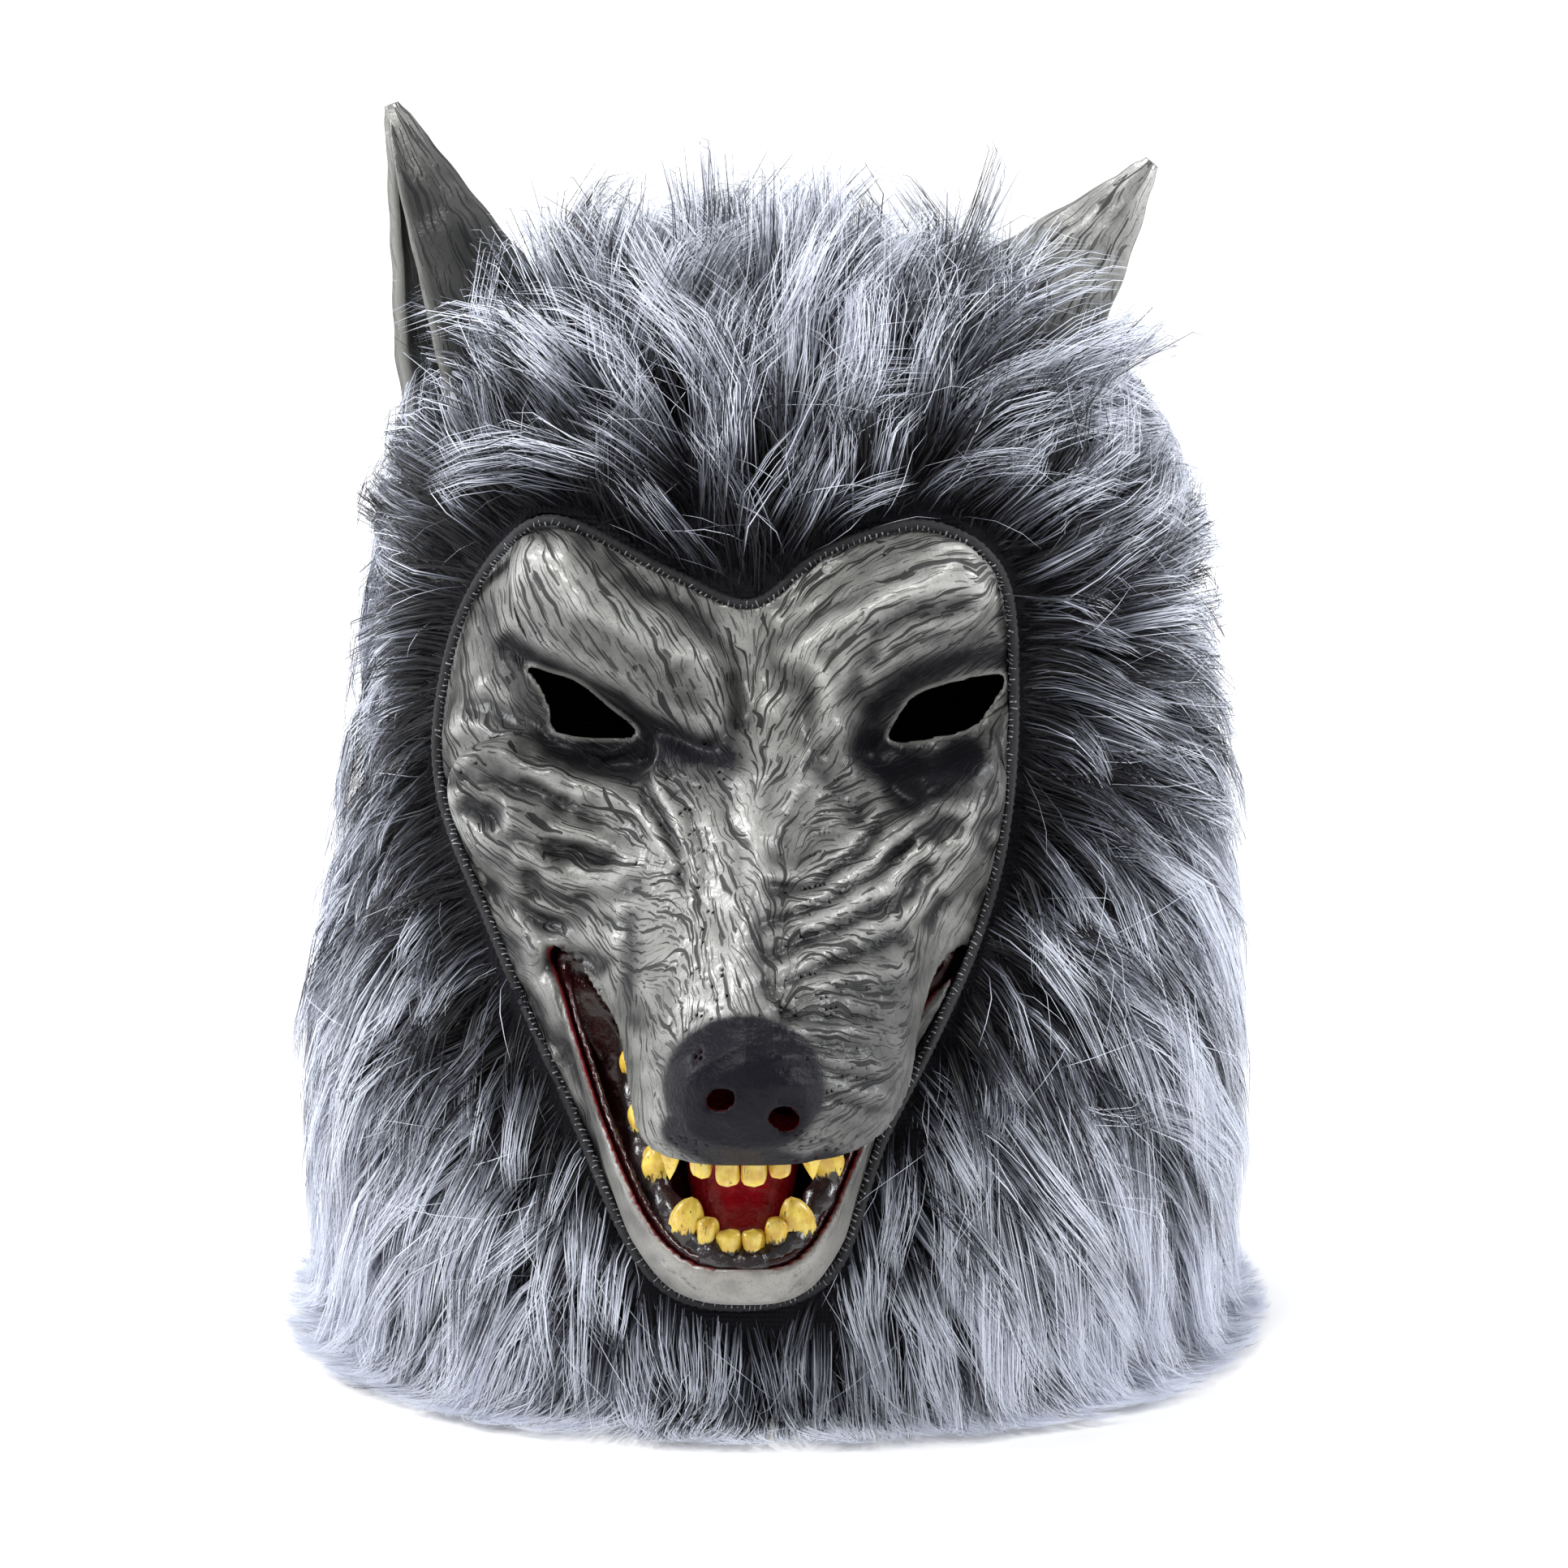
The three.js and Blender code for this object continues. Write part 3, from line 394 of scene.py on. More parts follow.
# Folds of the skin, by where they lie in the picture: height in mm (below 0 for a groove), width
# in mm, and the line's points in pixels.
FOLDS = [
    (-3, 4, (631, 791, 710, 836, 783, 883, 825, 904, 877, 925)),
    (2.8, 8, (851, 810, 877, 862, 880, 904)), (-2.6, 6, (904, 838, 908, 890)),
    (1.2, 5, (684, 653, 699, 710, 725, 747)), (-1.5, 6, (652, 783, 656, 787)),
    (1.2, 3, (689, 909, 741, 925, 783, 909)),
    (2.2, 3.5, (678, 951, 725, 967, 767, 969, 793, 998, 814, 1040, 830, 1066)),
    (2, 3, (809, 925, 819, 977, 835, 1024, 851, 1061, 856, 1103)),
    (-2, 2.5, (799, 930, 804, 987, 825, 1035, 838, 1092)),
    (1.5, 5, (872, 1008, 887, 1061, 908, 1113, 914, 1144)),
    (-1.2, 3, (856, 1061, 867, 1113, 898, 1155)),
    (2, 4, (558, 893, 605, 904, 647, 925, 689, 951)),
    (2, 4, (568, 930, 610, 930, 652, 951, 689, 977, 762, 977)),
    (-4.5, 8, (590, 990, 602, 996)), (2, 3.5, (563, 977, 584, 967, 621, 987, 631, 1019)),
    (2, 4, (631, 1008, 673, 1035, 725, 1029, 762, 1040)), (-1.5, 4, (689, 998, 741, 1008)),
    (2, 4, (663, 1061, 699, 1087, 751, 1082, 772, 1050)), (-2.2, 5.5, (690, 1050, 750, 1052)),
    (-3, 5, (654, 1082, 660, 1092)), (1.6, 3, (642, 1076, 647, 1050, 673, 1061)),
    (2, 4, (663, 1113, 720, 1129, 772, 1113)),
    (-1.8, 3.5, (929, 1108, 935, 1155, 950, 1207, 971, 1249)),
    (1.2, 4, (961, 763, 1039, 721, 1118, 689, 1196, 679)),
    (1.5, 5, (971, 810, 1039, 763, 1107, 736, 1196, 710)),
    (-1.5, 4, (1071, 815, 1081, 784, 1118, 763, 1186, 747)),
    (2, 5, (1013, 820, 1018, 862, 1003, 904)), (-1.5, 4, (1055, 810, 1060, 851, 1071, 883)),
    (2, 5, (1065, 867, 1107, 820, 1170, 799, 1243, 789)),
    (2.2, 5, (1127, 947, 1140, 955)), (1.4, 4, (1141, 915, 1147, 919)),
    (-2, 5, (1071, 925, 1097, 967, 1133, 982)),
    (2, 5, (1112, 1024, 1149, 993, 1191, 1008)), (-2.2, 6, (1140, 1020, 1158, 1008)),
    (2, 4.5, (945, 1076, 992, 1076, 1039, 1050, 1081, 1003)),
    (2.4, 5, (971, 1113, 1024, 1092, 1065, 1071, 1107, 1024)),
    (2.4, 5, (987, 1139, 1044, 1118, 1097, 1092, 1139, 1045)),
    (2.4, 5, (961, 1197, 1013, 1171, 1076, 1144, 1128, 1118)),
    (2, 4, (961, 1212, 1039, 1207, 1112, 1197)),
    (-1.8, 3, (940, 1092, 1003, 1087, 1060, 1045, 1086, 1008)),
    (-2, 3, (945, 1134, 1013, 1108, 1081, 1076, 1123, 1040)),
    (-2.2, 3, (950, 1171, 1023, 1144, 1107, 1113, 1139, 1076)),
    (-2, 2.5, (955, 1212, 1039, 1181, 1118, 1160)),
    (2, 4, (1144, 1061, 1180, 1040, 1217, 1003)), (2, 4, (1165, 1103, 1207, 1071, 1233, 1040)),
    (-1.6, 4, (1210, 1018, 1224, 1010)),
    (2.5, 6, (640, 1140, 660, 1200, 700, 1260, 739, 1300)), (2, 5, (655, 1160, 700, 1146, 752, 1158)),
    (-2.4, 5, (668, 1190, 700, 1178, 740, 1186)), (2.2, 5, (735, 1290, 742, 1304)),
    (-1.5, 4, (690, 1330, 720, 1400, 745, 1470)), (1.2, 5, (705, 1330, 735, 1400, 760, 1480)),
    (2.5, 7, (655, 690, 690, 720, 760, 760, 830, 810)),
    (1.8, 6, (1000, 790, 1080, 745, 1160, 722, 1220, 730)),
    (1.6, 5, (915, 960, 922, 1050, 928, 1140)), (1.2, 3, (985, 930, 975, 985, 950, 1030)),
]
# Fine level ridges on the right flank of the muzzle
FOLDS += [(0.9, 2, (958, y, 1020, y - 4, 1084, y + 2)) for y in (1236, 1268, 1306, 1340)]
FOLDS += [(-0.9, 1.8, (955, y, 1020, y - 4, 1086, y + 2)) for y in (1252, 1287, 1322, 1359)]

HEIGHT_GAIN, WIDTH_GAIN = 1.25, 1.1
FOLDS = [(height * HEIGHT_GAIN, width * WIDTH_GAIN, line) for height, width, line in FOLDS]
# More folds, at their own height and width
FOLDS += [
    (3.2, 9, (928, 930, 934, 1020, 922, 1120, 908, 1235)),
    (1.6, 4, (930, 950, 932, 1060, 912, 1180, 905, 1240)),
    (3.5, 8, (560, 905, 620, 925, 690, 950, 760, 985)), (3.2, 8, (600, 1035, 680, 1075, 765, 1060)),
    (-4, 7, (640, 928, 700, 948, 780, 945)), (-3.2, 7, (770, 1085, 776, 1160, 782, 1250)),
    (-3, 6, (1000, 935, 1040, 985, 1060, 1000)), (3, 8, (1130, 1020, 1190, 985, 1225, 930)),
    (-3, 5, (560, 955, 640, 975, 690, 990)), (-2.5, 5, (605, 1100, 660, 1128, 740, 1125)),
    (3, 7, (625, 1105, 650, 1165, 700, 1240)), (-2, 5, (640, 1215, 690, 1290, 730, 1370)),
    (2.2, 5, (735, 1260, 745, 1330, 760, 1420, 800, 1500)), (-1.8, 4, (700, 1260, 715, 1330, 740, 1420)),
    (2.4, 7, (1120, 1120, 1150, 1090, 1190, 1050)), (-2.4, 4, (1140, 1130, 1185, 1090, 1215, 1050)),
    (-2, 4, (600, 860, 640, 880, 670, 915)), (1.8, 4, (590, 850, 625, 868, 650, 900)),
]
# Raised areas of the skin: height in mm, how soft the edge is in mm, outline in pixels
PLATES = [
    (7.5, 3.8, (606, 720, 640, 668, 700, 664, 770, 712, 850, 762, 905, 815, 915, 880, 885, 925, 830, 905,
                770, 878, 705, 832, 640, 802, 610, 786)),
    (5, 5, (950, 800, 1010, 742, 1110, 690, 1200, 664, 1244, 700, 1250, 788, 1180, 795, 1110, 818, 1066, 862,
            1044, 915, 1000, 915, 985, 860)),
    (3, 4, (1000, 880, 1040, 865, 1062, 900, 1050, 940, 1010, 935)),
]

# Black paint, and in places painted shade (the lower right flank of the muzzle, the sockets under the brows):
# strength, width in mm, line in pixels
BLACK_PAINT_AND_SHADE = [
    (0.55, 26, (1050, 1270, 1060, 1400)), (0.35, 14, (600, 880, 620, 1000, 660, 1110)),
    (0.4, 10, (650, 800, 620, 760)), (0.35, 12, (690, 1150, 720, 1260, 740, 1400)),
    (0.4, 9, (960, 1120, 975, 1260)), (0.45, 9, (560, 940, 600, 1010, 640, 1080)),
    (0.5, 8, (1235, 800, 1225, 900, 1235, 1010)), (0.2, 8, (780, 740, 870, 800)),
    (0.75, 9, (625, 800, 655, 830, 660, 900)), (0.6, 9, (830, 925, 860, 950)),
    (0.5, 10, (640, 790, 720, 800, 800, 850, 870, 880)), (0.5, 12, (1030, 1270, 1050, 1330)),
    (0.5, 12, (600, 930, 640, 960)),
    (1, 7, (645, 812, 710, 848, 783, 895, 850, 925, 895, 935)),
    (1, 8, (690, 915, 760, 930, 830, 928, 870, 925)),
    (0.7, 3.2, (904, 835, 908, 892)),
    (1.1, 10, (1075, 920, 1110, 950, 1150, 960, 1190, 935)), (0.9, 8, (1120, 985, 1185, 960)),
    (0.9, 7, (1080, 870, 1120, 836, 1180, 812, 1240, 806)),
    (0.7, 4, (660, 820, 668, 870, 688, 905)), (0.75, 6, (590, 990, 606, 998)),
    (0.55, 5, (690, 1050, 750, 1052)), (0.5, 3.5, (654, 1082, 660, 1094)),
    (0.5, 6, (1140, 1020, 1158, 1008)), (0.5, 4, (1208, 1020, 1226, 1006)),
    (0.4, 3, (929, 1108, 935, 1155, 950, 1207, 971, 1249)),
    (0.55, 3, (1071, 815, 1081, 784, 1118, 763, 1186, 747)),
    (0.35, 3, (940, 1092, 1003, 1087, 1060, 1045, 1086, 1008)),
    (0.35, 3, (950, 1171, 1023, 1144, 1107, 1113, 1139, 1076)),
    (0.4, 2.5, (799, 930, 804, 987, 825, 1035, 838, 1092)),
    (0.45, 5, (610, 1090, 640, 1150, 650, 1200)), (0.4, 6, (1215, 830, 1205, 900, 1215, 960)),
]
# Painted highlights, over the dry-brushed silver, on the nose bridge, brows and ridges: strength, width in
# mm, line in pixels
BRIGHT = [
    (0.75, 11, (950, 900, 925, 1000, 885, 1110, 880, 1230)), (0.5, 9, (650, 690, 700, 740)),
    (0.6, 6, (905, 780, 925, 850)), (0.55, 9, (880, 1110, 860, 1200)),
    (0.5, 9, (1010, 770, 1110, 710, 1190, 700)), (0.4, 7, (740, 985, 790, 1040, 810, 1120)),
]
# Which way the engraved hair runs: a point in pixels and a direction, always with the growth
STROKE_FLOW = [
    (640, 700, 0.35, 0.94), (700, 690, 0.5, 0.87), (760, 720, 0.55, 0.83), (830, 770, 0.5, 0.87),
    (900, 770, 0.4, 0.92), (860, 880, 0.45, 0.9), (900, 960, 0.55, 0.83), (890, 1040, 0.5, 0.87),
    (915, 1100, 0.35, 0.94), (900, 1180, 0.4, 0.92), (880, 1270, 0.2, 0.98),
    (600, 830, 0.5, 0.87), (600, 920, 0.85, 0.5), (680, 960, 0.9, 0.4), (720, 1060, 0.95, 0.3),
    (810, 1000, 0.8, 0.6), (790, 1090, 0.97, 0.25), (790, 1180, 0.97, 0.2), (800, 1280, 0.9, 0.4),
    (640, 1130, 0.9, 0.4), (660, 1300, 0.5, 0.87), (720, 1480, 0.4, 0.9),
    (955, 770, -0.45, 0.89), (1010, 760, -0.75, 0.66), (1100, 720, -0.93, 0.36),
    (1200, 700, -0.99, 0.1), (1060, 840, -0.75, 0.66), (990, 900, -0.5, 0.87),
    (960, 980, -0.6, 0.8), (1040, 1010, -0.9, 0.43), (1110, 1060, -0.86, 0.5),
    (1010, 1120, -0.9, 0.43), (1060, 1180, -0.97, 0.25), (1030, 1290, -0.99, 0.1),
    (1030, 1390, -0.98, 0.2), (1190, 1080, -0.6, 0.8), (1210, 1000, -0.6, 0.8),
    (1090, 1480, -0.5, 0.87), (960, 1620, 0.1, 0.99),
]
# Outlines in pixels; nostrils as x, y, half width, half height and turn in degrees
EYE_HOLES = [
    [(650, 822), (674, 828), (710, 840), (745, 868), (784, 903), (740, 908), (686, 901), (678, 872),
     (664, 842)],
    [(1095, 908), (1108, 882), (1130, 856), (1180, 840), (1236, 832), (1222, 866), (1196, 896),
     (1150, 908), (1112, 914)],
]
NOSTRILS = [(888, 1355, 17, 12, -12), (966, 1378, 18, 14, 14)]

# ---------------------------------------------------------------- face as a distance field

STEP = 1.35
GRID_LOW = (-102.0, -176.0, 31.0)
GRID_HIGH = (74.0, 6.0, 258.0)
axes = [np.arange(a, b, STEP) for a, b in zip(GRID_LOW, GRID_HIGH)]
GX, GY, GZ = axes[0][:, None, None], axes[1][None, :, None], axes[2][None, None, :]
GRID_SHAPE = tuple(len(a) for a in axes)


def as_distance(field):
    """Scales a field so that it reads as mm near the surface."""
    steps = np.gradient(field, STEP)
    return (field / np.maximum(np.sqrt(sum(g * g for g in steps)), 1e-4)).astype(np.float32)


def join(a, b, k):
    """Smooth union of two distance fields."""
    h = np.clip(0.5 + 0.5 * (b - a) / k, 0, 1)
    return b + (a - b) * h - k * h * (1 - h)


def cut(a, b, k):
    """Smooth intersection."""
    return -join(-a, -b, k)


def ellipsoid_field(centre, radii, tilt=0.0):
    """tilt turns the long axis in the upright plane, in degrees, up to the right."""
    dx, dy, dz = GX - centre[0], GY - centre[1], GZ - centre[2]
    c, s = cos_sin(tilt)
    along, over = dx * c + dz * s, -dx * s + dz * c
    k0 = np.sqrt((along / radii[0]) ** 2 + (dy / radii[1]) ** 2 + (over / radii[2]) ** 2)
    k1 = np.sqrt((along / radii[0] ** 2) ** 2 + (dy / radii[1] ** 2) ** 2 + (over / radii[2] ** 2) ** 2)
    return (k0 * (k0 - 1) / np.maximum(k1, 1e-6)).astype(np.float32)


def head_field():
    side, front, back = hood_extents(axes[2])
    s = np.abs(GX) / side
    t = np.abs(GY - HOOD_SIZE["axis"]) / np.where(GY < HOOD_SIZE["axis"], front, back)
    p = HOOD_ROUNDNESS
    return as_distance((s**p + t**p) ** (1 / p) - 1)


def muzzle_field():
    """The muzzle: a row of sections, ridged above and full at the lips."""
    rows = smooth_rows(MUZZLE_SECTIONS, (MUZZLE_ROOT - axes[1]) / MUZZLE_REACH)[None, :, None, :]
    roof = NOSE_HEIGHT + rows[..., 3] * MUZZLE_RISE
    floor = NOSE_HEIGHT - rows[..., 4] * MUZZLE_DROP
    widest = floor + 0.28 * (roof - floor)
    half = np.where(GX > FACE_MIDDLE[0], rows[..., 2], rows[..., 1]) * MUZZLE_HALF
    a = np.abs(GX - FACE_MIDDLE[0]) / half
    above = (GZ - widest) / (roof - widest)
    below = (widest - GZ) / np.maximum(widest - floor, 4)
    up = (a**MUZZLE_RIDGE + np.maximum(above, 0) ** MUZZLE_RIDGE) ** (1 / MUZZLE_RIDGE)
    down = (a**MUZZLE_LIPS + np.maximum(below, 0) ** MUZZLE_LIPS) ** (1 / MUZZLE_LIPS)
    body = as_distance(np.where(GZ > widest, up, down) - 1)
    body = cut(body, MUZZLE_ROOT - 0.985 * MUZZLE_REACH - GY, 5)
    return np.maximum(body, GY - MUZZLE_ROOT)


def jaw_field():
    rows = smooth_rows(JAW_SECTIONS, (axes[2] - JAW_BOTTOM) / JAW_HEIGHT)
    half = np.where(GX > FACE_MIDDLE[0], rows[:, 2], rows[:, 1]) * JAW_HALF
    deep = np.where(GY < JAW_ROOT, rows[:, 3] * JAW_REACH, 50)
    a, b = np.abs(GX - FACE_MIDDLE[0]) / half, np.abs(GY - JAW_ROOT) / deep
    body = as_distance((a**3 + b**3) ** (1 / 3) - 1)
    body = cut(body, JAW_BOTTOM - GZ, 6)
    slope = math.radians(30)
    top = (GZ - MOUTH_CORNER[1] - 3 - (GY - MOUTH_CORNER[0]) * math.tan(slope)) * math.cos(slope)
    return cut(body, np.maximum(top, GZ - JAW_BOTTOM - JAW_HEIGHT), 4)


def face_field():
    """The outer surface of head, brows, muzzle, jaw and nose pad as one body."""
    body = head_field()
    for across, up, long, wide, deep, out, tilt in FACE_LOBES:
        x, z = FACE_MIDDLE[0] + across * FACE_HALF[0], FACE_MIDDLE[1] + up * FACE_HALF[1]
        wide *= FACE_HALF[0]
        deep *= wide
        centre = (x, hood_front_y(x, z) - out * deep, z)
        body = join(body, ellipsoid_field(centre, (long * FACE_HALF[0], deep, wide), tilt), 7)
    body = join(body, muzzle_field(), 11)
    body = join(body, jaw_field(), 6)
    body = join(body, ellipsoid_field(*NOSE_PAD), 4)
    # Eye recesses under the brows: x, z and tilt
    for x, z, tilt in ((-54, 196, -28), (46, 196, 24)):
        recess = ellipsoid_field((x, hood_front_y(x, z) - 5, z), (23, 11, 9), tilt)
        body = cut(body, -recess, 8)
    return body


def sample(field, points):
    """Trilinear reading of a grid field at points."""
    at = (points - np.array(GRID_LOW)) / STEP
    low = np.clip(np.floor(at).astype(int), 0, np.array(GRID_SHAPE) - 2)
    f = np.clip(at - low, 0, 1)
    total = 0
    for i in (0, 1):
        for j in (0, 1):
            for k in (0, 1):
                weight = np.abs(1 - i - f[:, 0]) * np.abs(1 - j - f[:, 1]) * np.abs(1 - k - f[:, 2])
                total = total + weight * field[low[:, 0] + i, low[:, 1] + j, low[:, 2] + k]
    return total


def near_line(points_px, line, reach):
    """Which points of the picture lie in a line's box, grown by reach in mm."""
    reach /= FACE_PIXEL
    inside = (points_px > line.min(0) - reach) & (points_px < line.max(0) + reach)
    return np.flatnonzero(np.all(inside, axis=1))


def drawn(points_px, line, width):
    """1 on a line of the picture, and less beside it, by a width in mm."""
    away = line_distance(points_px, line) * FACE_PIXEL
    return np.exp(-((away / width) ** 2))


def fold_depth(points_px):
    """How far the folds raise the skin, in mm, at points of the picture."""
    total = np.zeros(len(points_px), np.float32)
    x, y = points_px.T
    warp = [5 * np.sin(y / 37 + 1.7 * np.sin(x / 61)) + 2 * np.sin(y / 13 + x / 29),
            5 * np.sin(x / 43 + 1.5 * np.sin(y / 57)) + 2 * np.sin(x / 17 - y / 23)]
    points_px = points_px + np.stack(warp, 1)
    for height, soft, line in PLATES:
        line = closed_spline(pixels(line), 3)
        near = near_line(points_px, line, 1.6 * soft)
        away = polygon_distance(points_px[near], line) * FACE_PIXEL
        total[near] += height * smooth_step(-away, -soft * 0.4, soft * 1.8)
    total += 0.35 * np.sin(x / 9 + 2 * np.sin(y / 19)) * np.sin(y / 8 + 1.5 * np.sin(x / 23))
    for height, width, line in FOLDS:
        line = pixels(line)
        near = near_line(points_px, line, 2.2 * width)
        total[near] += height * drawn(points_px[near], line, 0.55 * width)
    return total


def surface_net(field):
    """Points (mm) and quads of the surface where a grid field is 0."""
    inside = field < 0
    shape = np.array(field.shape) - 1
    count = np.zeros(shape, np.int8)
    corners = [(i, j, k) for i in (0, 1) for j in (0, 1) for k in (0, 1)]
    for i, j, k in corners:
        count += inside[i : i + shape[0], j : j + shape[1], k : k + shape[2]]
    active = (count > 0) & (count < 8)
    index = np.full(shape, -1, np.int32)
    cells = np.argwhere(active)
    index[active] = np.arange(len(cells))
    a, b, c = cells.T
    values = np.stack([field[a + i, b + j, c + k] for i, j, k in corners], 1)
    place, hits = np.zeros((len(cells), 3)), np.zeros(len(cells))
    for a, ca in enumerate(corners):
        for b, cb in enumerate(corners):
            if b > a and sum(abs(p - q) for p, q in zip(ca, cb)) == 1:
                va, vb = values[:, a], values[:, b]
                crosses = (va < 0) != (vb < 0)
                t = np.where(crosses, va / np.where(va == vb, 1, va - vb), 0)
                place += crosses[:, None] * (np.array(ca) + t[:, None] * (np.array(cb) - np.array(ca)))
                hits += crosses
    points = np.array(GRID_LOW) + STEP * (cells + place / hits[:, None])
    quads = []
    for axis in range(3):
        one, two = [(1, 2), (2, 0), (0, 1)][axis]
        a = np.take(inside, range(field.shape[axis] - 1), axis)
        b = np.take(inside, range(1, field.shape[axis]), axis)
        edge = np.argwhere(a != b)
        edge = edge[(edge[:, one] > 0) & (edge[:, two] > 0)]
        edge = edge[(edge[:, one] < shape[one]) & (edge[:, two] < shape[two])]
        starts_inside = a[edge[:, 0], edge[:, 1], edge[:, 2]]
        around = []
        for s, t in ((-1, -1), (0, -1), (0, 0), (-1, 0)):
            cell = edge.copy()
            cell[:, one] += s
            cell[:, two] += t
            around.append(index[cell[:, 0], cell[:, 1], cell[:, 2]])
        quad = np.stack(around, 1)
        quad[~starts_inside] = quad[~starts_inside][:, ::-1]
        quads.append(quad)
    return points, np.concatenate(quads)


def stroke_flow(points_px, normals):
    """The direction in which the engraved hair runs at points of the skin, and the one across it."""
    flow = np.zeros((len(points_px), 2))
    for x, y, dx, dy in STROKE_FLOW:
        weight = 1 / ((points_px[:, 0] - x) ** 2 + (points_px[:, 1] - y) ** 2 + 300) ** 1.8
        flow += weight[:, None] * np.array([dx, dy])
    c, s = math.cos(VIEW_ELEVATION), math.sin(VIEW_ELEVATION)
    flow = unit(flow)
    run = np.stack([flow[:, 0], -flow[:, 1] * s, -flow[:, 1] * c], 1)
    run = unit(run - (run * normals).sum(1, keepdims=True) * normals)
    return run, unit(np.cross(normals, run))


def facing_of(field, points):
    """How squarely the field's surface faces the camera: 1 is straight at it, below 0 is away."""
    steps = [sample(g, points) for g in np.gradient(field, STEP)]
    length = np.maximum(np.sqrt(sum(g * g for g in steps)), 1e-6)
    return sum(g * c for g, c in zip(steps, TO_CAMERA)) / length


body = face_field()
near = np.argwhere(np.abs(body) < 7)
near_mm = np.array(GRID_LOW) + STEP * near
near_px = np.stack(to_picture(*near_mm.T), 1)

upper_lip = MOUTH_CORNER[1] + 1.6 + (GY - MOUTH_CORNER[0]) * UPPER_SLOPE + 0.9 * np.sin(GY / 6.0) + 0 * GX
lower_lip = MOUTH_CORNER[1] - 1.2 + (GY - MOUTH_CORNER[0]) * LOWER_SLOPE + 0.7 * np.sin(GY / 4.5 + 1) + 0 * GX
lip_gap = np.maximum((GZ - upper_lip) * 0.92, (lower_lip - GZ) * 0.695)
mouth_gap = np.maximum(lip_gap, GY - MOUTH_CORNER[0]).astype(np.float32)
hole_gap = np.full(GRID_SHAPE, 50, np.float32)
eye_gap = np.full(len(near), 50.0)
for corners in EYE_HOLES:
    corners = closed_spline(corners, 4)
    eye_gap = np.minimum(eye_gap, polygon_distance(near_px, corners) * FACE_PIXEL)
eye_gap[near_mm[:, 1] < -100] = 50
for x, y, a, b, turn in NOSTRILS:
    c, s = cos_sin(turn)
    dx, dy = near_px[:, 0] - x, near_px[:, 1] - y
    round_it = np.hypot((dx * c + dy * s) / a, (dy * c - dx * s) / b)
    gap = np.where(near_mm[:, 1] < -140, (round_it - 1) * b * FACE_PIXEL, 50)
    eye_gap = np.minimum(eye_gap, gap)
hole_gap[near[:, 0], near[:, 1], near[:, 2]] = eye_gap

xz = np.stack(np.meshgrid(axes[0], axes[2], indexing="ij"), -1).reshape(-1, 2)
seam_gap = polygon_distance(xz, seam_line).reshape(GRID_SHAPE[0], 1, GRID_SHAPE[2])

shell = cut(body, -(body + FACE_WALL), 0.6)
shell = cut(shell, -mouth_gap, 1.6)
shell = cut(shell, -hole_gap, 0.8)
shell = np.maximum(shell, seam_gap + 0.2)
shell = np.maximum(shell, GY - 4)


def keep_largest(points, quads):
    """Drops the crumbs that the cuts leave: only the largest connected part stays."""
    label = np.arange(len(points))
    for _ in range(400):
        low = label[quads].min(1)
        before = label.copy()
        for k in range(4):
            np.minimum.at(label, quads[:, k], low)
        label = label[label]
        if np.array_equal(before, label):
            break
    largest = np.bincount(label).argmax()
    kept = label == largest
    new = np.cumsum(kept) - 1
    return points[kept], new[quads[kept[quads[:, 0]]]]


def picture_of(points):
    return np.stack(to_picture(*points.T), 1)


def raise_folds(points, spread=0.0):
    """Moves points of the face towards the camera by the folds drawn there.

    With spread, by the lowest fold within so many pixels, so that a wall behind stays behind."""
    px = picture_of(points)
    high = fold_depth(px)
    if spread:
        for turn in range(6):
            step = spread * np.array([math.cos(turn * math.pi / 3), math.sin(turn * math.pi / 3)])
            high = np.minimum(high, fold_depth(px + step))
    high = high * smooth_step(facing_of(body, points), 0.0, 0.35)
    return points + high[:, None] * TO_CAMERA


face_points, face_quads = keep_largest(*surface_net(shell))
face_px = picture_of(face_points)
face_facing = smooth_step(facing_of(body, face_points), -0.1, 0.35)
inner_side = smooth_step(-sample(body, face_points), 0.9, 1.7)
face_raised = raise_folds(face_points)


def curvature(field, points, reach):
    """Above 0 on ridges, below 0 in hollows, from the field around points."""
    total = -6 * sample(field, points)
    for axis in range(3):
        for sign in (-1, 1):
            moved = points.copy()
            moved[:, axis] += sign * reach
            total += sample(field, moved)
    return total / reach


def black_paint_and_shade_on(points_px):
    """How black the paint and the painted shade are at points of the picture."""
    dark = np.zeros(len(points_px))
    for strength, width, line in BLACK_PAINT_AND_SHADE:
        dark = np.maximum(dark, strength * drawn(points_px, pixels(line), width))
    return dark


